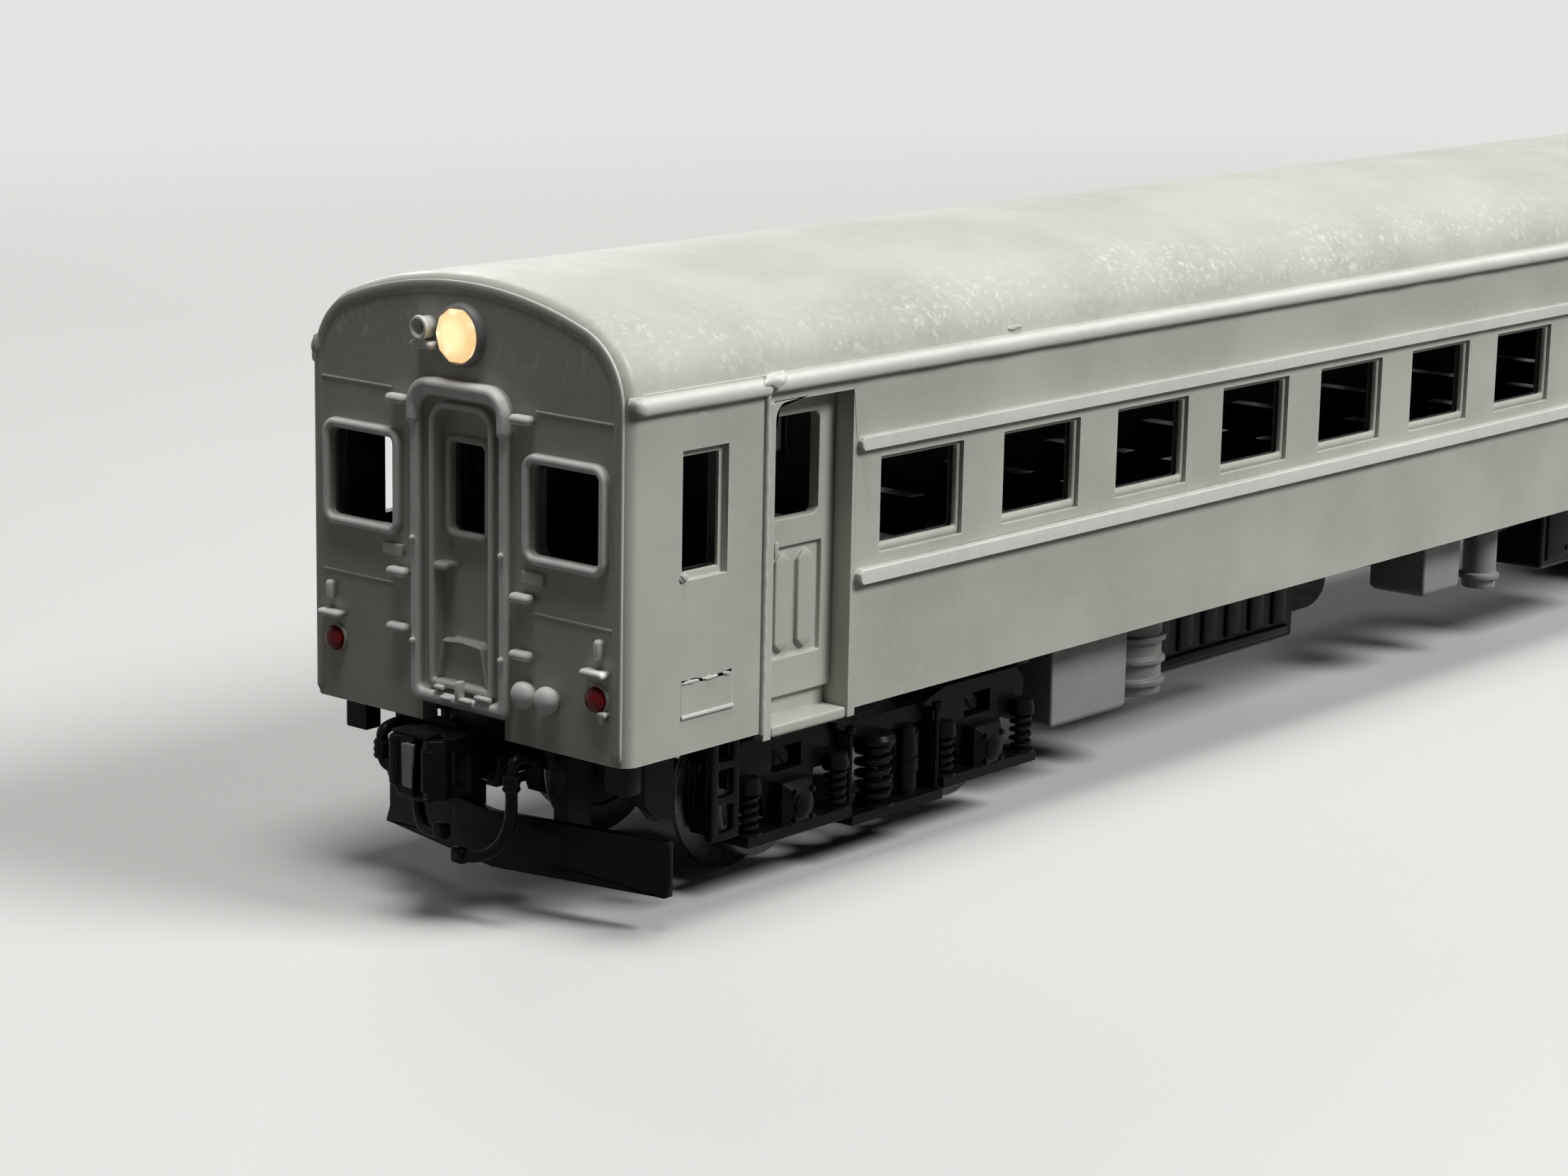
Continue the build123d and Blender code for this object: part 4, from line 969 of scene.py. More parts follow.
class Finishes:
    """Builds each finish once and hands it out by slot."""

    def __init__(self) -> None:
        """Builds the materials of every slot."""
        recipes = {
            # The body finish paints a highlight on proud mouldings and paints shade on the car's inside and
            # window reveals; pale edges on body and chassis are partly handling marks, partly painted
            # highlight.
            Slot.BODY: MouldedPlastic(
                "body_plastic_grey", (0.424, 0.428, 0.380), edge=0.52, pale=(0.93, 0.93, 0.90), bloom=0.36,
                painted_inside_shade=True, gloss=0.3, proud_highlight=1.0,
            ),
            Slot.CHASSIS: MouldedPlastic(
                "chassis_plastic_black", (0.003, 0.003, 0.003), cloud=0.15, roughness=0.27, grain=0.01,
                edge=0.1, pale=(0.05, 0.05, 0.048), gloss=0.06,
            ),
            Slot.LIGHT: MouldedPlastic("light_plastic_grey", (0.225, 0.23, 0.22), roughness=0.55),
            Slot.MID: MouldedPlastic("mid_plastic_grey", (0.16, 0.157, 0.15), roughness=0.5),
            Slot.HEADLAMP: WarmLens("headlamp_lens_lit", 25.05, 1.1),
            Slot.TAIL: ClearRed("tail_lens_red", (0.30, 0.003, 0.008)),
            Slot.WHEEL: TurnedMetal("wheel_metal_black", (0.06, 0.06, 0.058), (0.42, 0.42, 0.42), 0.36),
            Slot.STEEL: TurnedMetal("plain_steel", (0.42, 0.42, 0.42), (0.7, 0.7, 0.7), 0.3),
        }
        self.materials = {slot: recipe.build() for slot, recipe in recipes.items()}

    def give(self, piece: bpy.types.Object, slot: Slot) -> None:
        """Puts a slot's finish on a piece.

        Args:
            piece: the mesh object.
            slot: the record's slot.
        """
        piece.data.materials.clear()
        piece.data.materials.append(self.materials[slot])


@dataclass
class Workshop:
    """What every sub-assembly needs: the frame, the finishes and a count of what was made."""

    frame: dict
    finishes: Finishes
    made: list[str] = field(default_factory=list)

    def node_slot(self, node: str) -> Slot:
        """The slot that the record gives a CAD node."""
        parts = {part["node"]: part["material_slot"] for part in self.frame["record"]["subparts"]}
        return Slot(parts[node])

    def add(
        self,
        name: str,
        surface: Surface,
        slot: Slot,
        body: str,
        replaces: Sequence[str] = (),
        smooth_angle: float = 40.0,
    ) -> bpy.types.Object:
        """Writes a new piece, finishes it and lets it ride on a body.

        Args:
            name: the piece's name.
            surface: its shape.
            slot: its material slot.
            body: the body that it rides on.
            replaces: CAD nodes that it stands for.
            smooth_angle: edges that turn less are shaded smooth.

        Returns:
            The piece.
        """
        piece = write_piece(name, surface, smooth_angle)
        self.finishes.give(piece, slot)
        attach(piece, body)
        if replaces:
            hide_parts(*replaces)
        self.made.append(name)
        LOG.info("%s: %d faces on %s", name, len(piece.data.polygons), body)
        return piece

    def soften(
        self,
        node: str,
        body: str,
        width: float,
        segments: int = 2,
        angle: float = 35.0,
        strip: Callable[[np.ndarray], np.ndarray] | None = None,
        press: Callable[[np.ndarray], np.ndarray] | None = None,
    ) -> bpy.types.Object:
        """A copy of a CAD node with its sharp edges rounded, which stands for the node.

        The copy's loose triangles are merged first, so that the bevel runs along whole edges. A part that the
        scene models anew, such as a spring, is taken off the copy, and the hole that it leaves is closed.

        Args:
            node: the CAD node.
            body: the body that it rides on.
            width: width of the rounding, in millimetres.
            segments: steps across the rounding.
            angle: edges that turn by more than this many degrees are rounded.
            strip: says which triangles to take off, from their middles in millimetres (n by 3).
            press: moves points in millimetres (n by 3), to press a square moulding flush under a round one.

        Returns:
            The piece.
        """
        mesh = self.frame["nodes"][node].data.copy()
        mesh.name = f"{node}_skin"
        if press is not None:
            places = np.empty(len(mesh.vertices) * 3, np.float32)
            mesh.vertices.foreach_get("co", places)
            moved = press(places.reshape(-1, 3).astype(float) / MM) * MM
            mesh.vertices.foreach_set("co", moved.astype(np.float32).ravel())
        solid = bmesh.new()
        solid.from_mesh(mesh)
        bmesh.ops.remove_doubles(solid, verts=solid.verts, dist=2e-6)
        if press is not None:
            bmesh.ops.dissolve_degenerate(solid, edges=solid.edges, dist=2e-6)
        if strip is not None:
            faces = list(solid.faces)
            middles = np.array([face.calc_center_median() for face in faces]) / MM
            off = [faces[index] for index in np.flatnonzero(strip(middles))]
            bmesh.ops.delete(solid, geom=off, context="FACES")
            bmesh.ops.holes_fill(solid, edges=solid.edges, sides=0)
        solid.to_mesh(mesh)
        solid.free()
        piece = bpy.data.objects.new(f"{node}_skin", mesh)
        bpy.context.scene.collection.objects.link(piece)
        mesh.shade_smooth()
        bevel = piece.modifiers.new("round_edges", "BEVEL")
        bevel.width = width * MM
        bevel.segments = segments
        bevel.limit_method = "ANGLE"
        bevel.angle_limit = math.radians(angle)
        bevel.use_clamp_overlap = True
        bevel.miter_outer = "MITER_ARC"
        normals = piece.modifiers.new("even_normals", "WEIGHTED_NORMAL")
        normals.mode = "FACE_AREA"
        normals.keep_sharp = True
        self.finishes.give(piece, self.node_slot(node))
        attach(piece, body)
        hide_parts(node)
        self.made.append(piece.name)
        return piece

    def keep(self, node: str) -> None:
        """Keeps a CAD node as it is, with its slot's finish."""
        self.finishes.give(self.frame["nodes"][node], self.node_slot(node))


# Sub-assemblies.


def at_face(distance: float) -> float:
    """X of a place that lies this far behind the front face."""
    return FACE + distance


def pressed_flush(places: np.ndarray, axis: int, level: float, zone: Pair) -> np.ndarray:
    """Presses a square moulding flush with the wall that carries it.

    Args:
        places: points in millimetres, n by 3.
        axis: 0 for an end face, 1 for a side.
        level: distance of the wall from the middle of the car.
        zone: heights between which the moulding lies.

    Returns:
        The moved points.
    """
    proud = np.abs(places[:, axis]) > level + 0.02
    within = (places[:, 2] > zone[0]) & (places[:, 2] < zone[1])
    flush = places.copy()
    flush[:, axis] = np.where(proud & within, np.copysign(level, places[:, axis]), places[:, axis])
    return flush


def at_both_ends(
    shop: Workshop,
    name: str,
    surface: Surface,
    slot: Slot = Slot.BODY,
    replaces: str = "",
    smooth_angle: float = 40.0,
) -> None:
    """Adds a front piece and the same piece turned half round at the rear.

    Args:
        shop: the workshop.
        name: the piece's name without its end.
        surface: the front one's shape.
        slot: its material slot.
        replaces: CAD node without its end that it stands for, or nothing.
        smooth_angle: edges that turn less are shaded smooth.
    """
    for end in End:
        shape = surface if end is End.FRONT else surface.turned()
        nodes = [f"{replaces}_{end.value}"] if replaces else []
        shop.add(f"{name}_{end.value}", shape, slot, CAR, nodes, smooth_angle)


@dataclass
class BodyShell:
    """The grey shell: cabs, end doors, side walls, entrance doors, steps and roof."""

    edge: float = 0.11
    step_edge: float = 0.16
    fine_edge: float = 0.07
    gutter_foot: float = 22.7
    cab_angle: float = 52.0
    window_zone: Pair = (15.2, 21.0)
    sash_zone: Pair = (14.3, 19.54)

    def build(self, shop: Workshop) -> None:
        """Rounds the moulded edges of every shell piece.

        Args:
            shop: the workshop.
        """
        for end in End:
            shop.soften(
                f"cab_{end.value}", CAR, self.edge,
                angle=self.cab_angle, strip=self.cab_trim, press=self.flat_face,
            )
            shop.soften(f"gangway_door_{end.value}", CAR, self.fine_edge)
        for side in Side:
            shop.soften(f"side_wall_{side.value}", CAR, self.fine_edge, press=self.flat_wall)
            shop.soften(f"entrance_doors_{side.value}", CAR, self.fine_edge)
            shop.soften(f"door_steps_{side.value}", CAR, self.step_edge, 3)
        shop.soften("roof", CAR, self.fine_edge, strip=self.gutter_box)

    def gutter_box(self, middles: np.ndarray) -> np.ndarray:
        """Triangles of the square gutters, which are modelled anew with a soft lip."""
        return (np.abs(middles[:, 1]) > HALF_WIDTH + 0.02) & (middles[:, 2] > self.gutter_foot)

    def cab_trim(self, middles: np.ndarray) -> np.ndarray:
        """Finds a cab's gutters and what stands proud of its face, apart from the window frames.

        Args:
            middles: middles of the triangles in millimetres, n by 3.

        Returns:
            Which triangles to take off.
        """
        proud = np.abs(middles[:, 0]) > -FACE + 0.03
        beside = (middles[:, 2] < self.window_zone[0]) | (middles[:, 2] > self.window_zone[1])
        return (proud & beside) | self.gutter_box(middles)

    def flat_face(self, places: np.ndarray) -> np.ndarray:
        """Points of a cab with the square window frames pressed flush with its face."""
        return pressed_flush(places, 0, -FACE, self.window_zone)

    def flat_wall(self, places: np.ndarray) -> np.ndarray:
        """Points of a side wall with the square window frames pressed flush with it."""
        return pressed_flush(places, 1, HALF_WIDTH, self.sash_zone)


@dataclass
class EndMouldings:
    """Raised mouldings on the end face: window frames, gangway hood, panel lines, nubs and glue.

    Places are Y across and Z up. A bead is how far it stands proud and its half width. A block's X counts
    from the face. A row of the frame's section is depth, half width, foot, top, head radius and foot radius;
    the outside and the groove leave out the depth. A nub is its place, its size, its level over the face and
    its height. A glue blob is its place, its size, its roughness and its seed.
    """

    window_centre: Pair = (6.08, 18.25)
    window_half: Pair = (2.2, 2.15)
    window_corner: float = 0.5
    window_bead: Pair = (0.34, 0.22)
    hood_half: float = 2.7
    hood_top: float = 22.84
    hood_foot: float = 20.95
    hood_corner: float = 0.95
    hood_bead: Pair = (0.62, 0.3)
    frame_outside: Row = (2.93, 8.98, 22.8, 1.22, 0.45)
    frame_groove: Row = (2.4, 9.51, 22.34, 0.8, 0.25)
    frame_round: float = 0.2
    frame_sunk: float = 0.06
    frame_inside: tuple[Row, ...] = (
        (0.1, 2.38, 9.53, 22.32, 0.78, 0.25), (0.1, 1.96, 9.7, 22.16, 1.0, 0.2),
        (-0.14, 1.93, 9.73, 22.13, 0.98, 0.2), (-0.24, 1.84, 9.82, 22.04, 0.9, 0.16),
        (-0.24, 1.7, 9.96, 21.9, 0.76, 0.12), (-0.14, 1.6, 10.06, 21.8, 0.66, 0.1),
        (0.5, 1.56, 10.1, 21.76, 0.62, 0.1),
    )
    brow_inset: float = 0.56
    brow_foot: float = 8.02
    brow_bead: Pair = (0.08, 0.26)
    shoulder_radius: float = 3.6
    shoulder_centre: Pair = (5.9, 22.97)
    crown: Pair = (21.013, 6.587)
    door_window_centre: Pair = (0.0, 18.45)
    door_window_half: Pair = (1.19, 2.09)
    door_window_corner: float = 0.4
    door_window_bead: Pair = (0.28, 0.18)
    door_setback: float = 0.45
    line_spans: tuple[Row, ...] = (
        (22.33, 4.3, 8.72), (22.33, -8.72, -4.3), (13.77, 3.2, 8.72), (13.77, -8.72, -3.2),
    )
    line_radius: float = 0.07
    plate_setback: float = 0.15
    plate_bead: Pair = (0.28, 0.12)
    plate_outline: Outline = (
        (1.5, 10.05), (1.32, 10.9), (1.14, 11.74), (0.0, 11.84), (-1.14, 11.74), (-1.32, 10.9), (-1.5, 10.05),
    )
    handle: Block = ((-0.27, 3.72, 0.0), (0.6, 1.14, 0.42), 0.2)
    handle_heights: Row = (11.95, 14.4, 21.95)
    lamp_step: Block = ((-0.27, 7.95, 11.9), (0.66, 1.3, 0.32), 0.15)
    lamp_bracket: Block = ((-0.17, 8.1, 12.92), (0.42, 0.42, 0.86), 0.18)
    door_handle: Block = ((0.12, 1.25, 15.0), (0.66, 0.85, 0.36), 0.15)
    socket_places: Pair = (-3.95, -5.3)
    socket_height: float = 10.3
    socket_profile: Outline = (
        (0.05, 0.0), (0.05, 0.45), (-0.1, 0.45), (-0.18, 0.54), (-0.32, 0.59), (-0.46, 0.59), (-0.6, 0.53),
        (-0.7, 0.42), (-0.77, 0.24), (-0.79, 0.0),
    )
    nub_radius: float = 0.09
    nub_sink: float = 0.03
    nub_rows: tuple[tuple[Pair, Pair, float, float], ...] = (
        ((1.15, 9.73), (0.55, 0.2), 0.2, 0.25), ((0.62, 9.36), (0.6, 0.2), 0.38, 0.2),
        ((-0.17, 9.78), (0.24, 0.9), 0.2, 0.42), ((-0.52, 9.42), (0.8, 0.2), 0.38, 0.18),
        ((-1.5, 9.66), (0.9, 0.22), 0.2, 0.28), ((2.66, 16.05), (0.26, 0.26), 0.4, 0.16),
        ((2.66, 11.55), (0.26, 0.26), 0.4, 0.16), ((-2.66, 16.05), (0.26, 0.26), 0.4, 0.16),
        ((-2.66, 11.55), (0.26, 0.26), 0.4, 0.16), ((-8.35, 10.2), (0.5, 0.24), 0.0, 0.34),
        ((-8.3, 10.0), (0.24, 0.4), 0.0, 0.3), ((4.2, 15.3), (1.25, 0.56), 0.0, 0.19),
        ((-4.2, 15.3), (1.25, 0.56), 0.0, 0.19),
    )
    glue_blobs: tuple[tuple[Row, Row, float, int], ...] = (
        ((8.7, -9.78, 23.35), (1.5, 0.5, 0.75), 0.45, 3), ((8.25, -9.62, 22.95), (0.7, 0.3, 0.5), 0.5, 5),
        ((25.8, -9.42, 23.85), (1.0, 0.2, 0.2), 0.4, 8), ((1.4, -9.72, 22.9), (0.5, 0.3, 0.3), 0.4, 11),
        ((0.05, 9.0, 23.6), (0.5, 0.5, 0.9), 0.4, 13), ((0.12, -1.0, 27.1), (0.25, 0.4, 0.22), 0.4, 17),
        ((4.5, -9.49, 22.3), (0.5, 0.06, 0.4), 0.3, 19), ((3.4, -9.54, 15.62), (0.45, 0.2, 0.4), 0.4, 23),
    )

    def build(self, shop: Workshop) -> None:
        """Builds every moulding on both ends.

        Args:
            shop: the workshop.
        """
        windows = joined([self.window(np.array((side, 1)) * self.window_centre) for side in (1, -1)])
        at_both_ends(shop, "end_window_frames", windows)
        at_both_ends(shop, "gangway_hood", self.hood())
        at_both_ends(shop, "gangway_surround", self.surround(), Slot.BODY, "gangway_frame", 50.0)
        at_both_ends(shop, "brow_rim", self.brow())
        at_both_ends(shop, "end_handles", self.handles())
        at_both_ends(shop, "jumper_sockets", self.sockets())
        at_both_ends(shop, "gangway_door_window_frame", self.door_window())
        at_both_ends(shop, "end_panel_lines", self.panel_lines())
        at_both_ends(shop, "end_nubs", joined([self.nubs(), self.plate_rim()]))
        at_both_ends(shop, "glue_marks", self.glue())

    def window(self, middle: np.ndarray) -> Surface:
        """The raised frame of an end window, at its middle."""
        line = rounded_path(*self.window_half, self.window_corner) + middle
        return bead(line, FACE, *self.window_bead, True)

    def door_window(self) -> Surface:
        """The raised frame of the gangway door's window."""
        line = rounded_path(*self.door_window_half, self.door_window_corner) + self.door_window_centre
        return bead(line, at_face(self.door_setback), *self.door_window_bead, True)

    def hood(self) -> Surface:
        """The hood over the gangway door: a fat round moulding with two short legs and an arch between them.

        Returns:
            The closed moulding.
        """
        angle = np.linspace(0, math.pi / 2, 10)
        arc = self.hood_corner * np.stack([np.cos(angle), np.sin(angle)], -1)
        corner = np.array([self.hood_half - self.hood_corner, self.hood_top - self.hood_corner])
        right = arc + corner
        left = arc[::-1] * (-1, 1) + corner * (-1, 1)
        leg = np.linspace(self.hood_foot, corner[1], 12)[:-1]
        up = np.stack([np.full_like(leg, self.hood_half), leg], -1)
        across = np.stack([np.linspace(corner[0], -corner[0], 9)[1:-1], np.full(7, self.hood_top)], -1)
        line = np.concatenate([up, right, across, left, up[::-1] * (-1, 1)])
        return bead(line, FACE, *self.hood_bead, False, 0.7, 16)

    def surround(self) -> Surface:
        """The gangway frame: an outer rail, a groove and an inner rail, carried round the door.

        Each row of the grid is the loop of one place on the frame's section, with its own half width, foot,
        top and corner radii; the section runs from the outer foot over both rails and down to the door. The
        outer rail's edges are quarter circles, so a row moves in by 1 - cos(t) as it rises by sin(t).

        Returns:
            The open frame, whose first and last rows are sunk in the wall and behind the door.
        """
        sweep = np.linspace(0, math.pi / 2, 4)
        rise, fall = self.frame_round * np.sin(sweep), self.frame_round * (1 - np.cos(sweep))
        outside, groove = np.array(self.frame_outside), np.array(self.frame_groove)
        inwards = np.array([-1, 1, -1, -1, -1])
        rows, steps = [(self.frame_sunk, *outside)], list(zip(rise, fall))
        rows += [(-self.frame_round - up, *(outside + over * inwards)) for up, over in steps]
        rows += [(-self.frame_round - up, *(groove - over * inwards)) for up, over in steps[::-1]]
        loops = []
        for depth, half, foot, top, head_radius, foot_radius in (*rows, *self.frame_inside):
            middle, half_height = (0.0, (top + foot) / 2), (top - foot) / 2
            line = rounded_path(half, half_height, head_radius, straight=6) + middle
            low = rounded_path(half, half_height, foot_radius, straight=6) + middle
            line = np.where(line[:, 1:] < middle[1], low, line)
            loops.append(np.concatenate([np.full((len(line), 1), at_face(depth)), line], 1))
        return grid(np.array(loops), wrap_u=True, wrap_v=True)

    def brow(self) -> Surface:
        """The faint raised rim round the end face, which leaves a crease where it meets the flat.

        Returns:
            The closed moulding, along two legs, two shoulder arcs and the crown's arc.
        """
        (side, spring), radius = self.shoulder_centre, self.shoulder_radius - self.brow_inset
        meeting = math.atan2(spring - self.crown[1], side)
        turn = np.linspace(0, meeting, 16)
        shoulder = np.stack([side + radius * np.cos(turn), spring + radius * np.sin(turn)], -1)
        sweep = np.linspace(meeting, math.pi - meeting, 40)[1:-1]
        crown = (self.crown[0] - self.brow_inset) * np.stack([np.cos(sweep), np.sin(sweep)], -1)
        crown += (0.0, self.crown[1])
        leg = np.linspace(self.brow_foot, spring, 40)[:-1]
        up = np.stack([np.full_like(leg, side + radius), leg], -1)
        line = np.concatenate([up, shoulder, crown, shoulder[::-1] * (-1, 1), up[::-1] * (-1, 1)])
        return bead(line, FACE, *self.brow_bead, False, 1.0, 8)

    def bar(self, block: Block, side: int = 1, height: float = 0.0) -> Surface:
        """One round bar of the face, on a side and at a height."""
        (out, across, up), size, radius = block
        return rounded_block((at_face(out), side * across, up + height), size, radius, 4)

    def handles(self) -> Surface:
        """Bars beside the gangway, a step over each tail lamp, a bracket above it and the door's handle.

        Returns:
            The closed bars.
        """
        bars = [self.bar(self.handle, side, height) for side in (-1, 1) for height in self.handle_heights]
        bars += [self.bar(block, side) for block in (self.lamp_step, self.lamp_bracket) for side in (-1, 1)]
        return joined([*bars, self.bar(self.door_handle)])

    def plate_rim(self) -> Surface:
        """The rim of the folded foot plate: a bead up one side, over its top and down again.

        Returns:
            The closed bead.
        """
        corners = np.array(self.plate_outline)
        share = np.linspace(0, len(corners) - 1, 60)
        line = np.stack([np.interp(share, np.arange(len(corners)), corners[:, i]) for i in (0, 1)], -1)
        return bead(line, at_face(self.plate_setback), *self.plate_bead, False, 1.0, 8)

    def sockets(self) -> Surface:
        """Two jumper sockets on one side: necks with ball ends."""
        places = [(FACE, across, self.socket_height) for across in self.socket_places]
        return joined([revolved(self.socket_profile, place, "X", 24) for place in places])

    def panel_lines(self) -> Surface:
        """Fine raised joint lines beside the gangway, above and below the windows.

        Returns:
            The closed rods, half sunk in the face.
        """
        share = np.linspace(0, 1, 12)[:, None]
        rods = []
        for height, start, stop in self.line_spans:
            first, last = np.array([(FACE + 0.02, start, height), (FACE + 0.02, stop, height)])
            rods.append(tube(first * (1 - share) + last * share, self.line_radius, (0, 0, 1), 8))
        return joined(rods)

    def nubs(self) -> Surface:
        """Small nubs on the door's ledge, at the frame's hinges and under a tail lamp, and two blank plates.

        Returns:
            The closed blocks.
        """
        sink = self.nub_sink
        return blocks([
            ((FACE - level - height / 2 + sink, *place), (height + 2 * sink, *size), self.nub_radius)
            for place, size, level, height in self.nub_rows
        ])

    def glue(self) -> Surface:
        """Set glue and flash: at the gutters' joint, on the gutter, on the arch and by a window."""
        rows = [((at_face(place[0]), *place[1:]), *rest) for place, *rest in self.glue_blobs]
        return joined([lump(*row) for row in rows])


@dataclass
class SideTrim:
    """Trim of a side: rounded gutters, the vent patch beside the cab, window sashes and door handles."""

    gutter_section: Outline = (
        (9.3, 23.66), (9.44, 23.54), (9.68, 23.5), (9.88, 23.36), (9.93, 23.1), (9.87, 22.82), (9.66, 22.72),
        (9.4, 22.75),
    )
    gutter_root: float = 9.3
    gutter_start: float = 0.14
    gutter_joint: float = 8.56
    cab_tapers: Pair = (0.6, 0.15)
    body_tapers: Pair = (0.25, 0.25)
    window_half: Pair = (2.95, 2.15)
    window_middle: float = 16.95
    first_window: float = 19.2
    window_pitch: float = 8.9
    window_count: int = 11
    sash_section: Outline = (
        (-0.05, 8.8), (-0.05, 9.2), (0.02, 9.28), (0.09, 9.31), (0.16, 9.28), (0.21, 9.2), (0.21, 8.8),
    )
    sash_foot: float = 1.7
    sash_corner: float = 0.14
    seam: float = 8.52
    seam_span: Pair = (7.95, 22.7)
    seam_radius: float = 0.14
    seam_waver: float = 0.02
    doorway: Pair = (9.1, 22.3)
    doorway_radius: float = 0.75
    doorway_depth: float = 0.9
    door_pull: Block = ((10.35, -8.52, 15.6), (0.3, 0.24, 0.75), 0.08)
    vent_start: float = 3.35
    vent_width: float = 3.25
    vent_bottom: float = 9.6
    vent_height: float = 1.5
    vent_crumbs: tuple[tuple[float, Row, int], ...] = (
        (0.6, (1.1, 0.11, 0.17), 41), (1.75, (0.9, 0.12, 0.15), 42), (2.85, (0.5, 0.12, 0.2), 44),
    )

    def build(self, shop: Workshop) -> None:
        """Builds the trim of both sides and both ends.

        Args:
            shop: the workshop.
        """
        joint = at_face(self.gutter_joint)
        cab = self.gutter(at_face(self.gutter_start), joint, -0.05, 2, self.cab_tapers)
        body = self.gutter(joint, -joint, 0.02, 7, self.body_tapers)
        shop.add("roof_gutter_beads", body.on_both_sides(), Slot.BODY, CAR)
        at_both_ends(shop, "cab_gutter_beads", cab.on_both_sides())
        at_both_ends(shop, "cab_vents", self.vent().on_both_sides())
        trim = joined([self.door_handle(), self.seam_ridge(), self.doorway_corner()])
        at_both_ends(shop, "doorway_trim", trim.on_both_sides())
        sashes = self.sashes()
        for side in Side:
            shape = sashes if side is Side.RIGHT else sashes.turned()
            shop.add(f"window_sashes_{side.value}", shape, Slot.BODY, CAR)

    def gutter(
        self, start: float, stop: float, lift: float, seed: int, tapers: Pair
    ) -> Surface:
        """The soft lip of a rain gutter, which swells out of the roof's shoulder and turns under.

        The section runs through a few (reach, height) points, from the shoulder to the underside; along X its
        reach varies by three seeded sines, and it shrinks to nothing over its tapers.

        Args:
            start: X of its start.
            stop: X of its end.
            lift: how much higher it lies than its neighbour.
            seed: seed of the unevenness.
            tapers: lengths over which its ends shrink.

        Returns:
            The closed moulding on the right side.
        """
        waves = np.random.default_rng(seed).uniform(0.2, 1.4, 3)
        first, last = tapers
        x = np.concatenate([
            start + np.linspace(0, first, 8)[:-1],
            np.linspace(start + first, stop - last, 160),
            stop - np.linspace(last, 0, 8)[1:],
        ])
        from_end = np.clip(np.minimum((x - start) / first, (stop - x) / last), 0, 1)
        ends = np.sqrt(1 - (1 - from_end) ** 2)
        uneven = 1 + 0.06 * np.sin(np.outer(x, waves) + waves).mean(-1)
        section = curve_through([(*point, 0.0) for point in self.gutter_section], 4)[:, :2]
        base = np.minimum(section[:, 0], self.gutter_root)
        reach = base + (section[:, 0] - base) * (uneven * ends)[:, None]
        middle = section[:, 1].mean()
        height = middle + lift + (section[:, 1] - middle) * (0.3 + 0.7 * ends)[:, None]
        return grid(np.stack([np.repeat(x[:, None], len(section), 1), -reach, height], -1), wrap_v=True)

    def vent(self) -> Surface:
        """The vent beside the cab: a thin patch with a broken upper edge, over a bright lower ridge.

        Returns:
            The closed patch, ridge and crumbs.
        """
        x = np.linspace(at_face(self.vent_start), at_face(self.vent_start + self.vent_width), 48)
        top = self.vent_bottom + self.vent_height
        edge = np.stack([x, top + np.random.default_rng(31).uniform(-0.12, 0.14, len(x))], -1)
        outline = np.concatenate([edge[::-1], [[x[0], self.vent_bottom], [x[-1], self.vent_bottom]]])
        patch = plate(outline, "Y", -HALF_WIDTH + 0.05, -0.065)
        share = np.linspace(0, 1, 10)[:, None]
        first, last = np.array([(place, -HALF_WIDTH, self.vent_bottom) for place in x[[0, -1]]])
        crumbs = [
            lump((at_face(self.vent_start + at), -HALF_WIDTH - 0.02, top - 0.02), size, 0.45, seed)
            for at, size, seed in self.vent_crumbs
        ]
        return joined([patch, tube(first * (1 - share) + last * share, 0.1, (0, 0, 1), 8), *crumbs])

    def sashes(self) -> Surface:
        """The sash in each saloon window: a rounded ring set back in the opening, with a taller foot.

        Each row of a ring's grid is a loop of one place on its section, from the wall's inside over the round
        front and back along the opening.

        Returns:
            The rings of the right side.
        """
        half_width, half_height = self.window_half
        loops = []
        for inset, out in self.sash_section:
            top, foot = half_height - inset, -half_height + (self.sash_foot * inset if inset > 0 else inset)
            line = rounded_path(half_width - inset, (top - foot) / 2, self.sash_corner, 4)
            line += (0.0, (top + foot) / 2)
            loops.append(np.stack([line[:, 0], np.full(len(line), -out), line[:, 1]], -1))
        ring = grid(np.array(loops), wrap_u=True, wrap_v=True)
        places = at_face(self.first_window) + self.window_pitch * np.arange(self.window_count)
        return joined([ring.moved((place, 0.0, self.window_middle)) for place in places])

    def seam_ridge(self) -> Surface:
        """The fine uneven ridge along the seam of cab and body: a rod whose place and radius waver.

        Returns:
            The closed rod; the waver is the mean of two sines of the height.
        """
        height = np.linspace(*self.seam_span, 90)
        waver = self.seam_waver * (np.sin(height * 3.1) * 0.5 + np.sin(height * 7.7 + 1.0) * 0.5)
        path = np.stack([at_face(self.seam) + waver, np.full_like(height, -HALF_WIDTH - 0.04), height], -1)
        return tube(path, self.seam_radius + waver, (1, 0, 0), 10)

    def doorway_corner(self) -> Surface:
        """The doorway's round upper corner: a plate between the corner and a quarter circle.

        Returns:
            The closed plate.
        """
        turn = np.linspace(math.pi / 2, math.pi, 12)
        radius = self.doorway_radius
        corner = np.array([at_face(self.doorway[0]) - 0.02, self.doorway[1] + 0.02])
        arc = corner + (radius, -radius) + radius * np.stack([np.cos(turn), np.sin(turn)], -1)
        return plate([corner, *arc], "Y", -HALF_WIDTH + self.doorway_depth, -self.doorway_depth, 0.05)

    def door_handle(self) -> Surface:
        """A small pull on each entrance door, as a raised block."""
        return blocks([self.door_pull]).moved((FACE, 0.0, 0.0))


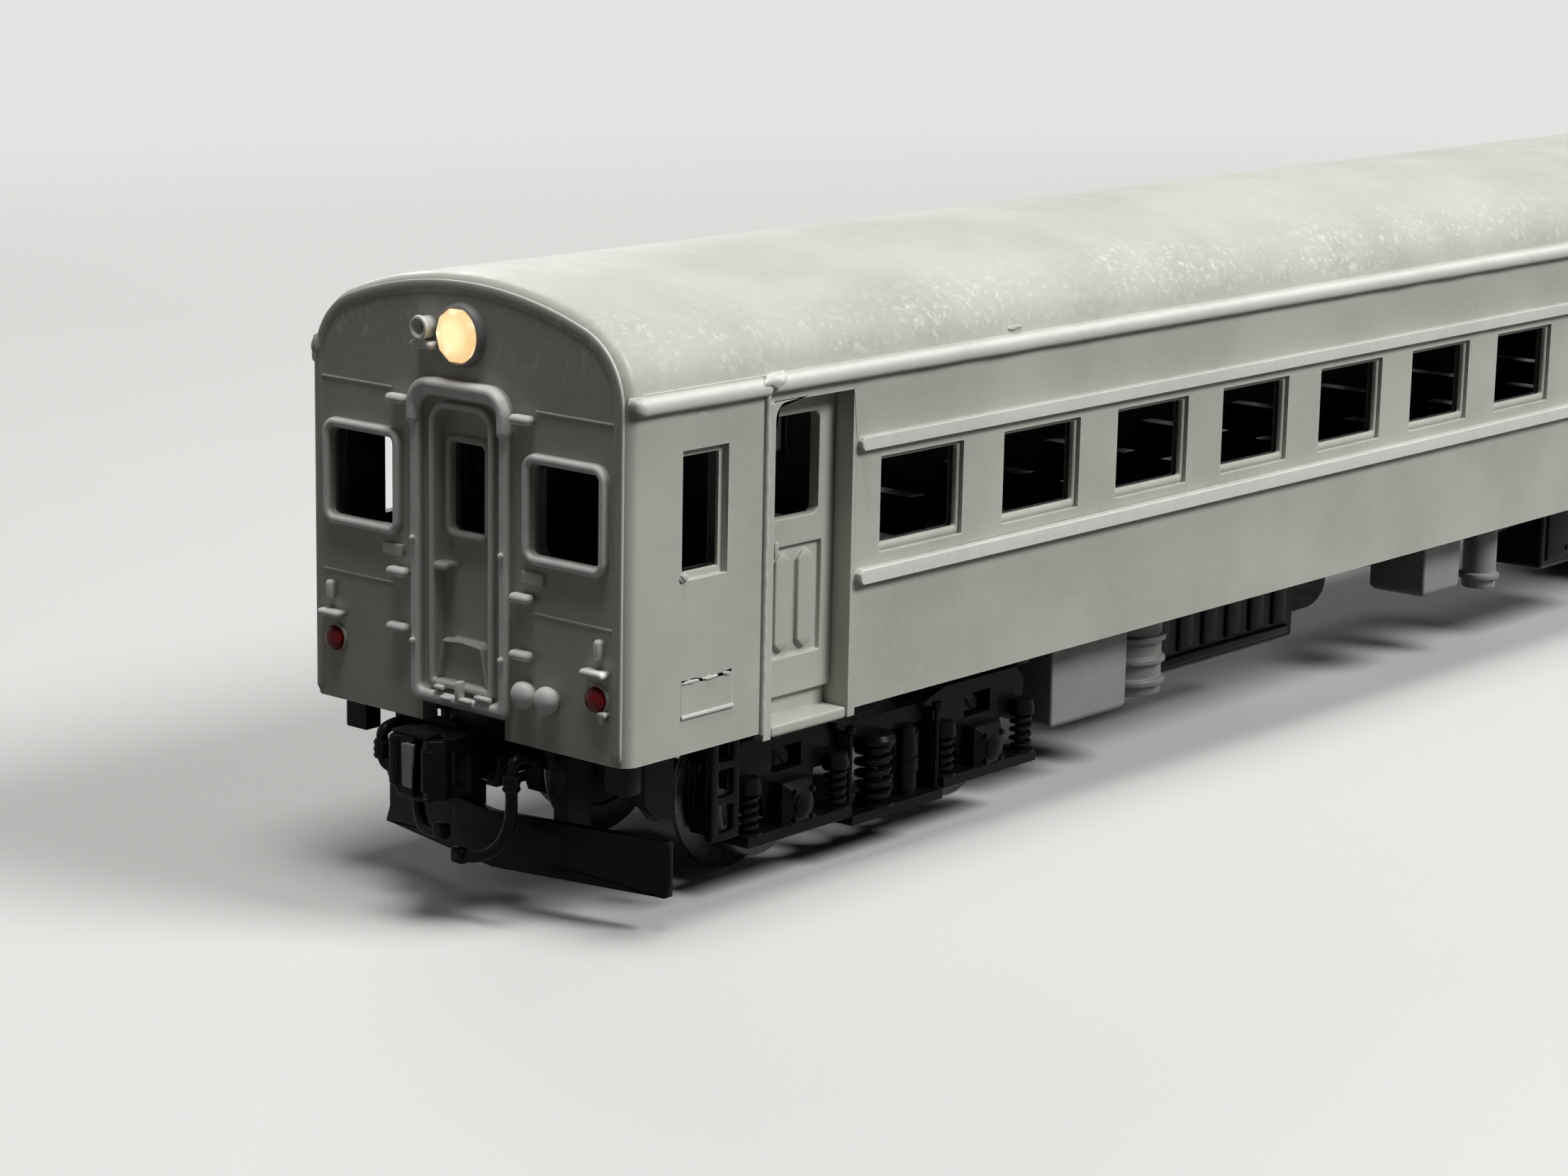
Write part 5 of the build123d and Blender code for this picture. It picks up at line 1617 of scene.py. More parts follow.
@dataclass
class Lamps:
    """Headlamp with its faceted lens, tail lamps and horn."""

    lamp_height: float = 25.05
    bezel: float = 1.36
    lens: float = 1.17
    proud: float = 0.4
    facets: int = 10
    tail_place: Pair = (7.9, 10.75)
    tail_radius: float = 0.53
    tail_base: float = 0.16
    tail_rise: float = 0.32
    ring_gap: float = 0.07
    ring_section: Pair = (0.1, 0.09)
    horn_place: Pair = (1.98, 25.2)
    horn_profile: Outline = (
        (0.05, 0.0), (0.05, 0.48), (-0.4, 0.47), (-0.56, 0.52), (-0.66, 0.54), (-0.74, 0.5), (-0.76, 0.42),
        (-0.72, 0.34), (-0.6, 0.3), (-0.15, 0.28), (-0.1, 0.0),
    )
    horn_shelf: Block = ((-0.3, 0.02, -0.74), (0.7, 1.3, 0.34), 0.14)

    def build(self, shop: Workshop) -> None:
        """Builds the lamps and the horn of both ends.

        Args:
            shop: the workshop.
        """
        at_both_ends(shop, "headlamp_bezel", self.bezel_ring(), Slot.MID, "headlamp")
        at_both_ends(shop, "headlamp_glass", self.lens_dome(), Slot.HEADLAMP, "headlamp_lens", 8.0)
        at_both_ends(shop, "tail_lamp_glasses", self.tail_domes(), Slot.TAIL, "tail_lamps")
        at_both_ends(shop, "tail_lamp_rings", self.tail_rings())
        at_both_ends(shop, "horn_trumpet", self.horn(), Slot.BODY, "horn")

    def bezel_ring(self) -> Surface:
        """The headlamp's round housing: a flared foot, a rounded rim and a shallow bowl behind the lens.

        Returns:
            The closed housing.
        """
        bezel, front, lens = self.bezel, -self.proud, self.lens
        profile = [
            (0.05, 0.0), (0.05, bezel + 0.06), (-0.06, bezel), (front + 0.1, bezel - 0.02),
            (front, bezel - 0.1), (front - 0.02, lens + 0.03), (front + 0.12, lens - 0.01),
            (-0.2, lens - 0.1), (-0.15, 0.0),
        ]
        return revolved(profile, (FACE, 0.0, self.lamp_height), "X", 56)

    def lens_dome(self) -> Surface:
        """The lit lens: a low dome cut in flat facets round two rings.

        Returns:
            The closed lens.
        """
        front, lens = -self.proud, self.lens
        profile = [
            (front + 0.4, 0.0), (front + 0.4, lens - 0.06), (front - 0.06, lens), (front - 0.2, lens * 0.84),
            (front - 0.31, lens * 0.45), (front - 0.34, 0.0),
        ]
        return revolved(profile, (FACE, 0.0, self.lamp_height), "X", self.facets)

    def at_tail_lamps(self, profile: Sequence[Pair]) -> Surface:
        """A profile turned about the axis of each tail lamp."""
        across, height = self.tail_place
        return joined([revolved(profile, (FACE, side * across, height), "X", 32) for side in (-1, 1)])

    def tail_domes(self) -> Surface:
        """Two domed red lenses: a quarter ellipse turned about each lamp's axis.

        Returns:
            The closed domes.
        """
        t = np.linspace(0, math.pi / 2, 9)
        dome = zip(-self.tail_base - self.tail_rise * np.sin(t), self.tail_radius * np.cos(t))
        return self.at_tail_lamps([(0.05, 0.0), (0.05, self.tail_radius), *dome])

    def tail_rings(self) -> Surface:
        """A low rounded collar round each tail lamp: an ellipse turned about the lamp's axis.

        Returns:
            The closed collars.
        """
        t = np.linspace(0, TURN, 13)
        out, radius = -0.02 + self.ring_section[0] * np.sin(t), self.tail_radius + self.ring_gap
        return self.at_tail_lamps(list(zip(out, radius + self.ring_section[1] * np.cos(t))))

    def horn(self) -> Surface:
        """The horn: a short thick tube with a rounded mouth, on a shelf."""
        place = (FACE, *self.horn_place)
        return joined([revolved(self.horn_profile, place, "X", 32), blocks([self.horn_shelf]).moved(place)])


@dataclass
class Coupler:
    """The knuckle coupler: head, guard arm, knuckle with its pin and a paler patch.

    The X of a place counts from the head's front, and the Z of a casting from the coupler's middle.
    """

    front: float = -3.0
    height: float = 6.9
    edge: float = 0.12
    knuckle_centre: Pair = (0.35, -0.72)
    knuckle_reach: Pair = (0.42, 0.45)
    knuckle_height: float = 1.9
    casting_blocks: tuple[Block, ...] = (
        ((0.1, 1.12, 0.15), (0.5, 0.55, 2.3), 0.18),
        ((0.55, 0.3, 1.36), (0.9, 2.2, 0.22), 0.1),
        ((0.7, 0.2, -1.36), (1.1, 2.0, 0.22), 0.1),
        ((1.2, -1.5, 0.0), (0.8, 0.22, 1.6), 0.1),
        ((1.2, 1.5, 0.0), (0.8, 0.22, 1.6), 0.1),
    )
    pin_place: Pair = (0.42, -0.75)
    pin_profile: Outline = ((-1.15, 0.0), (-1.15, 0.2), (-1.05, 0.24), (1.1, 0.24), (1.25, 0.16), (1.25, 0.0))
    patch_outline: Outline = ((0.05, 5.95), (0.62, 6.0), (0.66, 7.85), (0.3, 7.95), (-0.1, 7.9), (0.0, 7.0))

    def build(self, shop: Workshop) -> None:
        """Rounds the CAD coupler and adds its cast details on both ends.

        Args:
            shop: the workshop.
        """
        for end in End:
            shop.soften(f"coupler_{end.value}", CAR, self.edge, 3)
        at_both_ends(shop, "coupler_castings", self.castings(), Slot.CHASSIS)
        at_both_ends(shop, "coupler_glints", self.pin(), Slot.STEEL)
        at_both_ends(shop, "coupler_patch", self.patch(), Slot.MID)

    def castings(self) -> Surface:
        """Ribs of the head, the guard arm, the knuckle and its lock lifter.

        Returns:
            The closed blocks and the knuckle, half an ellipse pushed up into a plate.
        """
        angle = np.linspace(0, math.pi, 12)
        (x, y), (ahead, across) = self.knuckle_centre, self.knuckle_reach
        outline = np.stack([x - ahead * np.sin(angle), y - across * np.cos(angle)], -1)
        knuckle = plate(outline, "Z", -self.knuckle_height / 2, self.knuckle_height, 0.1)
        return joined([knuckle, blocks(self.casting_blocks)]).moved((at_face(self.front), 0.0, self.height))

    def pin(self) -> Surface:
        """The bright knuckle pin."""
        x, y = self.pin_place
        return revolved(self.pin_profile, (at_face(self.front) + x, y, self.height), "Z", 20)

    def patch(self) -> Surface:
        """The pale patch on the head's front, between guard arm and knuckle."""
        return plate(self.patch_outline, "X", at_face(self.front) + 0.08, -0.14, 0.05)


@dataclass
class BrakeHoses:
    """The buffer beam with three smooth hoses, their couplings and clips.

    A route's X counts from the hoses' own plane; the routes are the loop, the left hose and the right hose.
    """

    beam_front: float = 0.45
    plane: float = -0.7
    radius: float = 0.27
    edge: float = 0.08
    routes: tuple[tuple[Triple, ...], ...] = (
        (
            (1.25, 3.0, 7.5), (0.0, 3.0, 7.5), (0.0, 3.0, 6.6), (0.0, 3.1, 5.8), (0.0, 4.2, 5.8),
            (0.0, 4.3, 6.7), (0.0, 4.3, 7.5), (1.25, 4.3, 7.5),
        ),
        (
            (1.25, 2.1, 7.5), (0.0, 2.1, 7.55), (0.0, 2.1, 6.4), (0.0, 2.1, 5.0), (-0.2, 1.8, 4.0),
            (-0.5, 1.1, 3.5), (-0.6, 0.1, 3.7),
        ),
        (
            (1.25, -3.6, 7.5), (0.0, -3.6, 7.55), (0.0, -3.6, 6.3), (0.0, -3.6, 4.8), (-0.2, -3.2, 3.7),
            (-0.4, -2.3, 3.0), (-0.5, -0.9, 2.8),
        ),
    )
    collar_height: float = 6.5
    collar: Outline = (
        (-0.4, 0.0), (-0.4, 0.34), (-0.3, 0.4), (-0.15, 0.35), (0.0, 0.4), (0.15, 0.35), (0.3, 0.4),
        (0.4, 0.34), (0.4, 0.0),
    )
    gladhand: tuple[Block, ...] = (
        ((-0.05, -0.15, 0.1), (0.55, 0.8, 0.7), 0.2), ((-0.25, -0.35, 0.15), (0.3, 0.35, 0.35), 0.12),
    )

    def build(self, shop: Workshop) -> None:
        """Takes the angular hoses off the CAD beam and hangs smooth ones.

        Args:
            shop: the workshop.
        """
        limit = at_face(self.beam_front) - 0.02
        for end, sign in zip(End, (1.0, -1.0)):
            shop.soften(
                f"brake_hoses_{end.value}", CAR, self.edge,
                strip=lambda middles, sign=sign: sign * middles[:, 0] < limit,
            )
        at_both_ends(shop, "hose_lines", self.hoses(), Slot.CHASSIS)
        at_both_ends(shop, "hose_couplings", self.couplings(), Slot.CHASSIS)

    def hoses(self) -> Surface:
        """The three hoses as round tubes."""
        lines = [tube(curve_through(route, 10), self.radius, (0.31, 0.2, 0.93), 14) for route in self.routes]
        return joined(lines).moved((at_face(self.plane), 0.0, 0.0))

    def couplings(self) -> Surface:
        """A ribbed collar near the head of each hose and a gladhand at each free end.

        Returns:
            The closed collars and gladhands.
        """
        loop, left, right = self.routes
        across = [point[1] for point in (loop[2], left[2], right[2], loop[6])]
        parts = [revolved(self.collar, (0.0, y, self.collar_height), "Z", 20) for y in across]
        parts += [blocks(self.gladhand).moved(route[-1]) for route in (left, right)]
        return joined(parts).moved((at_face(self.plane), 0.0, 0.0))


@dataclass
class Underframe:
    """The black chassis, its boxes and engine, with pipes, straps, lids and bolts.

    A pipe is its radius and its control points. A block that is repeated has its X at 0, and the places are
    those of its copies.
    """

    edge: float = 0.08
    box_edge: float = 0.14
    pipe_runs: tuple[tuple[float, tuple[Row, ...]], ...] = (
        (0.22, ((-30, -7, 7.9), (-27, -7, 7.9), (-26.4, -7, 7.3), (-22, -7, 7.3), (-18, -7, 7.3))),
        (0.18, ((-8, -6.4, 7.6), (-4, -6.4, 7.6), (-3.2, -6.6, 7), (0, -6.6, 7), (3, -6.6, 7))),
        (0.22, ((5, -7, 7.7), (8, -7, 7.7), (9, -7, 7), (12, -7, 7), (16, -7, 7.4))),
        (0.2, ((27, -6.8, 7.8), (30, -6.8, 7.8), (31, -6.8, 7.2), (33, -6.8, 7.2))),
        (0.22, ((-34, 6.8, 7.8), (-30, 6.8, 7.8), (-29, 6.8, 7.1), (-25, 6.8, 7.1), (-22, 6.8, 7.1))),
        (0.2, ((-12, 7, 7.5), (-6, 7, 7.5), (-4, 7, 7.1), (2, 7, 7.1), (7, 7, 7.5))),
        (0.22, ((18, 7, 7.6), (23, 7, 7.6), (24.5, 7, 7.1), (30, 7, 7.1), (33, 7, 7.9))),
        (0.26, ((-30, 2.6, 7.4), (-20, 2.6, 7.4), (-18, 3.4, 7), (-16, 3.8, 6.6))),
        (0.42, (
            (2.0, 1.4, 6.4), (4.0, 1.4, 6.4), (6.0, 2.4, 6.2), (12.0, 3.6, 6.2), (14.0, 5.2, 6.0),
            (14.0, 6.6, 6.0), (14.0, 7.6, 5.8),
        )),
    )
    strap: Block = ((0.0, 6.45, 5.75), (0.5, 3.08, 4.5), 0.2)
    strap_places: Row = (-21.0, -14.4)
    filler_place: Row = (-17.7, 7.85, 7.0)
    filler: Outline = ((0.0, 0.0), (0.0, 0.45), (0.35, 0.45), (0.4, 0.6), (0.62, 0.6), (0.7, 0.5), (0.7, 0.0))
    latched_lid: tuple[Block, ...] = (
        ((0.0, -7.92, 6.3), (4.9, 0.2, 3.2), 0.08), ((0.0, -8.04, 5.2), (0.7, 0.16, 0.3), 0.06),
    )
    latched_lid_places: Row = (18.3, 24.1)
    louvred_lid: Block = ((0.0, 7.92, 6.2), (4.9, 0.2, 3.3), 0.08)
    louvre: Pair = (3.6, 0.22)
    louvre_heights: Row = (5.1, 5.6, 6.1, 6.6, 7.1)
    louvred_lid_places: Row = (9.3, 15.1)
    engine_cover: Block = ((0.0, 4.62, 5.4), (1.3, 0.3, 2.3), 0.12)
    engine_cover_places: Row = (-18.2, -16.0, -13.8, -11.6, -9.4, -7.2)
    engine_rails: tuple[Block, ...] = (
        ((-12.7, 4.66, 3.85), (12.6, 0.36, 0.5), 0.15), ((-12.7, 4.66, 6.95), (12.6, 0.36, 0.4), 0.15),
    )
    sump_rib: Block = ((0.0, 0.0, 3.12), (1.0, 7.4, 0.3), 0.12)
    sump_rib_places: Row = (-17.5, -15.125, -12.75, -10.375, -8.0)
    shaft_height: float = 5.4
    flange_place: float = -5.4
    flange: Outline = ((-0.5, 0.0), (-0.5, 1.9), (0.2, 2.0), (0.3, 1.6), (0.8, 1.5), (0.9, 0.0))
    shaft_place: float = -6.4
    shaft: Outline = ((-0.2, 0.0), (-0.2, 0.75), (0.1, 0.75), (0.2, 0.45), (0.8, 0.45), (0.9, 0.0))
    hanger: Block = ((0.0, 0.0, 7.8), (0.3, 0.6, 1.3), 0.1)
    hanger_places: Outline = (
        (-25.0, -7.0), (-20.0, -7.0), (1.0, -6.6), (11.5, -7.0), (31.5, -6.8), (-27.5, 6.8), (0.0, 7.0),
        (27.0, 7.0),
    )
    gusset: Block = ((0.0, 0.0, 7.75), (1.0, 0.4, 1.0), 0.12)
    gusset_places: Outline = ((-34.6, -7.9), (-34.6, 7.9), (34.6, -7.9), (34.6, 7.9))

    def build(self, shop: Workshop) -> None:
        """Rounds the moulded edges, keeps what is closed in and adds the fittings.

        Args:
            shop: the workshop.
        """
        for node in ("chassis", "gearbox"):
            shop.soften(node, CAR, self.edge)
        for node in ("radiator_box", "engine_block", "battery_box", "fuel_tank", "control_box", "heater_box"):
            shop.soften(node, CAR, self.box_edge, 3)
        for node in ("air_cleaner", "air_tank"):
            shop.soften(node, CAR, self.edge)
        for end in End:
            shop.soften(f"snow_plough_{end.value}", CAR, self.edge)
            shop.soften(f"cab_ladders_{end.value}", CAR, self.edge)
        for node in ("weight_plate", "seat_tray", "kingpin_front", "kingpin_rear"):
            shop.keep(node)
        for end in End:
            shop.keep(f"cab_partition_{end.value}")
        shop.add("underfloor_pipes", self.pipes(), Slot.CHASSIS, CAR)
        shop.add("tank_straps", self.straps(), Slot.CHASSIS, CAR)
        shop.add("box_lids", self.lids(), Slot.CHASSIS, CAR)
        shop.add("engine_fittings", self.engine(), Slot.CHASSIS, CAR)
        shop.add("floor_brackets", self.brackets(), Slot.CHASSIS, CAR)

    def pipes(self) -> Surface:
        """Air pipes along both sides, with drops into the boxes."""
        runs = [(curve_through(run, 10), radius) for radius, run in self.pipe_runs]
        return joined([tube(*run, (0.1, 0.1, 1.0), 10) for run in runs])

    def straps(self) -> Surface:
        """Two straps round the fuel tank and a filler neck on its side."""
        straps = in_row([self.strap], self.strap_places)
        return joined([straps, revolved(self.filler, self.filler_place, "Y", 20)])

    def lids(self) -> Surface:
        """Lids on the boxes' outer faces: with a latch on one side, with louvres on the other.

        Returns:
            The closed blocks.
        """
        length, height = self.louvre
        louvres = [((0.0, 8.03, level), (length, 0.12, height), 0.05) for level in self.louvre_heights]
        latched = in_row(self.latched_lid, self.latched_lid_places)
        return joined([latched, in_row([self.louvred_lid, *louvres], self.louvred_lid_places)])

    def engine(self) -> Surface:
        """Covers, rails and ribs of the engine block, on both of its long sides and below.

        Returns:
            The closed blocks, the gearbox flange and the shaft.
        """
        covers = in_row([self.engine_cover], self.engine_cover_places)
        sides = joined([covers, blocks(self.engine_rails)]).on_both_sides()
        ribs = in_row([self.sump_rib], self.sump_rib_places)
        flange = revolved(self.flange, (self.flange_place, 0.0, self.shaft_height), "X", 28)
        shaft = revolved(self.shaft, (self.shaft_place, 0.0, self.shaft_height), "X", 20)
        return joined([sides, ribs, flange, shaft])

    def brackets(self) -> Surface:
        """Short hangers between floor and pipes, and gusset plates above the trucks."""
        hangers = repeated(blocks([self.hanger]), self.hanger_places)
        return joined([hangers, repeated(blocks([self.gusset]), self.gusset_places)])


@dataclass
class Truck:
    """One truck: frame, wound springs, axle box covers, brake blocks and two wheelsets.

    Places are given from the middle of the front truck; the rear truck is the front one turned half round.
    A coil is its radius, wire radius and turns. A cap's Z counts from its spring's head; that of a seat, a
    post or the damper counts from the foot.
    """

    end: End
    wheelsets: tuple[int, int]
    edge: float = 0.07
    middle: float = -44.0
    half_base: float = 6.9
    axle_height: float = 3.75
    spring_y: float = 7.65
    spring_span: Pair = (2.9, 4.85)
    spring_offset: float = 3.0
    spring_radius: float = 0.55
    wing_coil: Row = (0.44, 0.12, 4.5)
    wing_post: Outline = ((-0.1, 0.0), (-0.1, 0.26), (2.05, 0.26), (2.05, 0.0))
    wing_cap: Outline = ((-0.1, 0.0), (-0.1, 0.62), (0.1, 0.66), (0.55, 0.56), (0.62, 0.3), (0.62, 0.0))
    wing_seat: Outline = ((-0.02, 0.0), (-0.02, 0.66), (0.1, 0.66), (0.14, 0.0))
    bolster_place: float = -0.85
    bolster_y: float = 7.35
    bolster_span: Pair = (2.4, 5.6)
    bolster_radius: float = 0.9
    bolster_gap: float = 0.25
    bolster_coils: tuple[Row, ...] = ((0.73, 0.18, 5.0), (0.38, 0.12, 7.0))
    bolster_seat: Outline = ((-0.02, 0.0), (-0.02, 1.02), (0.12, 1.02), (0.18, 0.0))
    bolster_cap: Outline = ((-0.3, 0.0), (-0.3, 1.02), (-0.1, 1.05), (0.12, 0.9), (0.12, 0.0))
    damper_place: float = 1.5
    damper: Outline = (
        (0.0, 0.0), (0.0, 0.3), (0.25, 0.32), (0.3, 0.55), (1.6, 0.55), (1.65, 0.62), (1.75, 0.62),
        (1.8, 0.54), (2.9, 0.54), (3.0, 0.3), (3.3, 0.3), (3.3, 0.0),
    )
    cover_y: float = 8.4
    cover_dome: Outline = ((-0.1, 0.0), (-0.1, 0.62), (0.05, 0.6), (0.16, 0.4), (0.2, 0.0))
    bolt: Outline = ((-0.2, 0.0), (-0.2, 0.15), (0.06, 0.15), (0.1, 0.0))
    bolt_places: Outline = ((-0.58, -0.62), (-0.58, 0.62), (0.58, -0.62), (0.58, 0.62))
    rod_place: Pair = (3.15, 7.85)
    rod: Outline = (
        (2.2, 0.0), (2.2, 0.2), (2.35, 0.24), (2.6, 0.13), (6.1, 0.13), (6.2, 0.26), (6.5, 0.26), (6.6, 0.0),
    )
    shoe_turn: float = 24.0
    shoe_section: Outline = ((2.95, 4.45), (3.45, 4.45), (3.45, 5.6), (2.95, 5.6))
    shoe_hanger: Block = ((3.62, 5.0, 4.7), (0.3, 0.4, 2.2), 0.1)
    half_wheelset: Outline = (
        (0.0, 0.62), (3.3, 0.62), (3.4, 0.95), (3.72, 1.0), (3.8, 1.15), (3.88, 2.3), (3.72, 2.45),
        (3.7, 3.5), (3.76, 3.68), (3.9, 3.75), (4.06, 3.7), (4.2, 3.4), (4.3, 3.06), (4.46, 2.89),
        (5.78, 2.83), (5.88, 2.74), (5.9, 2.42), (5.84, 2.34), (5.5, 2.22), (5.36, 2.0), (5.3, 1.35),
        (5.42, 1.1), (5.86, 1.0), (5.9, 0.9), (5.9, 0.56), (6.4, 0.5), (6.9, 0.48), (6.97, 0.4), (6.97, 0.0),
    )

    def build(self, shop: Workshop) -> None:
        """Rounds the frame, winds its springs and turns its wheels.

        Args:
            shop: the workshop.
        """
        name, body = self.end.value, f"truck_{self.end.value}"
        shop.soften(f"truck_frame_{name}", body, self.edge, strip=self.in_spring)
        shop.add(f"wing_springs_{name}", self.placed(self.wing_springs()), Slot.CHASSIS, body)
        shop.add(f"bolster_springs_{name}", self.placed(self.bolster_springs()), Slot.CHASSIS, body)
        shop.add(f"axle_box_covers_{name}", self.placed(self.box_covers()), Slot.CHASSIS, body)
        shop.add(f"brake_gear_{name}", self.placed(self.brake_gear()), Slot.CHASSIS, body)
        for number in self.wheelsets:
            axle = self.middle + (self.half_base if number % 2 == 0 else -self.half_base)
            x = axle if self.end is End.FRONT else axle + 2 * -self.middle
            wheelset = f"wheelset_{number}"
            shop.add(f"wheels_{number}", self.wheels(x), Slot.WHEEL, wheelset, [wheelset])

    def placed(self, surface: Surface) -> Surface:
        """The surface at this truck's own end."""
        return surface if self.end is End.FRONT else surface.turned()

    def spring_places(self) -> tuple[list[Row], list[Row]]:
        """Lists the wing springs and the bolster springs of the front truck.

        Returns:
            X, Y, radius, foot and head of each spring, for both kinds.
        """
        wings = [
            (self.middle + axle + shift, side * self.spring_y, self.spring_radius, *self.spring_span)
            for axle in (-self.half_base, self.half_base)
            for shift in (-self.spring_offset, self.spring_offset)
            for side in (-1, 1)
        ]
        x, bolster = self.middle + self.bolster_place, (self.bolster_radius, *self.bolster_span)
        return wings, [(x, side * self.bolster_y, *bolster) for side in (-1, 1)]

    def in_spring(self, middles: np.ndarray) -> np.ndarray:
        """Finds the triangles of the CAD frame that lie on its springs.

        Args:
            middles: middles of the triangles in millimetres, n by 3.

        Returns:
            Which triangles to take off.
        """
        place = middles if self.end is End.FRONT else middles * np.array([-1.0, -1.0, 1.0])
        found = np.zeros(len(place), bool)
        for x, y, radius, foot, head in sum(self.spring_places(), []):
            near = np.hypot(place[:, 0] - x, place[:, 1] - y) < radius + 0.005
            found |= near & (place[:, 2] > foot + 0.01) & (place[:, 2] < head - 0.01)
        return found

    def wing_springs(self) -> Surface:
        """The eight coil springs on the wings of the axle boxes, with their seats and guide posts.

        Returns:
            The closed wires and turned pieces.
        """
        foot, head = self.spring_span
        turned = ((self.wing_post, foot), (self.wing_cap, head), (self.wing_seat, foot))
        parts = []
        for x, y, *_ in self.spring_places()[0]:
            parts.append(coil((x, y), foot, head, *self.wing_coil))
            parts += [revolved(shape, (x, y, level), "Z", 24) for shape, level in turned]
        return joined(parts)

    def bolster_springs(self) -> Surface:
        """The large coil spring on each side, with its seats, inner spring and the damper beside it.

        Returns:
            The closed wires and turned pieces.
        """
        foot, head = self.bolster_span
        turned = ((self.bolster_seat, foot), (self.bolster_cap, head))
        parts = []
        for x, y, *_ in self.spring_places()[1]:
            parts += [coil((x, y), foot, head - self.bolster_gap, *wire) for wire in self.bolster_coils]
            parts += [revolved(shape, (x, y, level), "Z", 28) for shape, level in turned]
            parts.append(revolved(self.damper, (self.middle + self.damper_place, y, foot), "Z", 24))
        return joined(parts)

    def box_covers(self) -> Surface:
        """A domed cover with four bolts on every axle box, and hanger rods with their nuts.

        Returns:
            The closed turned pieces.
        """
        parts = []
        shift, rod_y = self.rod_place
        for side in (-1, 1):
            shapes = (self.cover_dome, self.bolt)
            dome, bolt = ([(side * along, radius) for along, radius in shape] for shape in shapes)
            for axle in (-self.half_base, self.half_base):
                x, y = self.middle + axle, side * self.cover_y
                parts.append(revolved(dome, (x, y, self.axle_height), "Y", 24))
                for along, up in self.bolt_places:
                    parts.append(revolved(bolt, (x + along, y, self.axle_height + up), "Y", 6))
            for x in (self.middle - shift, self.middle + shift):
                parts.append(revolved(self.rod, (x, side * rod_y, 0.0), "Z", 16))
        return joined(parts)

    def brake_gear(self) -> Surface:
        """Curved brake blocks on both sides of every wheel, with their hangers.

        A block's point lies at radius r and turn a about the axle, for r from the tread plus its gap to the
        block's back, and a to both sides of the level line; a row of its section is r and Y.

        Returns:
            The closed blocks.
        """
        parts = []
        angle = np.radians(np.linspace(-self.shoe_turn, self.shoe_turn, 9))
        ahead, rise = np.cos(angle), np.sin(angle)
        (hanger_x, hanger_y, hanger_z), size, radius = self.shoe_hanger
        for side, axle, way in product((-1, 1), (-self.half_base, self.half_base), (-1, 1)):
            x = self.middle + axle
            block = np.stack([
                np.stack([x + way * r * ahead, np.full(9, side * y), self.axle_height + r * rise], -1)
                for r, y in self.shoe_section
            ], 1)
            middle = block.mean(1, keepdims=True).repeat(4, 1)
            parts.append(grid(np.concatenate([middle[:1], block, middle[-1:]]), wrap_v=True))
            parts.append(rounded_block((x + way * hanger_x, side * hanger_y, hanger_z), size, radius))
        return joined(parts)

    def wheels(self, x: float) -> Surface:
        """Two turned wheels on an axle at X that ends in its journals, one closed profile turned about it."""
        profile = [(-y, r) for y, r in reversed(self.half_wheelset)] + list(self.half_wheelset[1:])
        return revolved(profile, (x, 0.0, self.axle_height), "Y", 56)


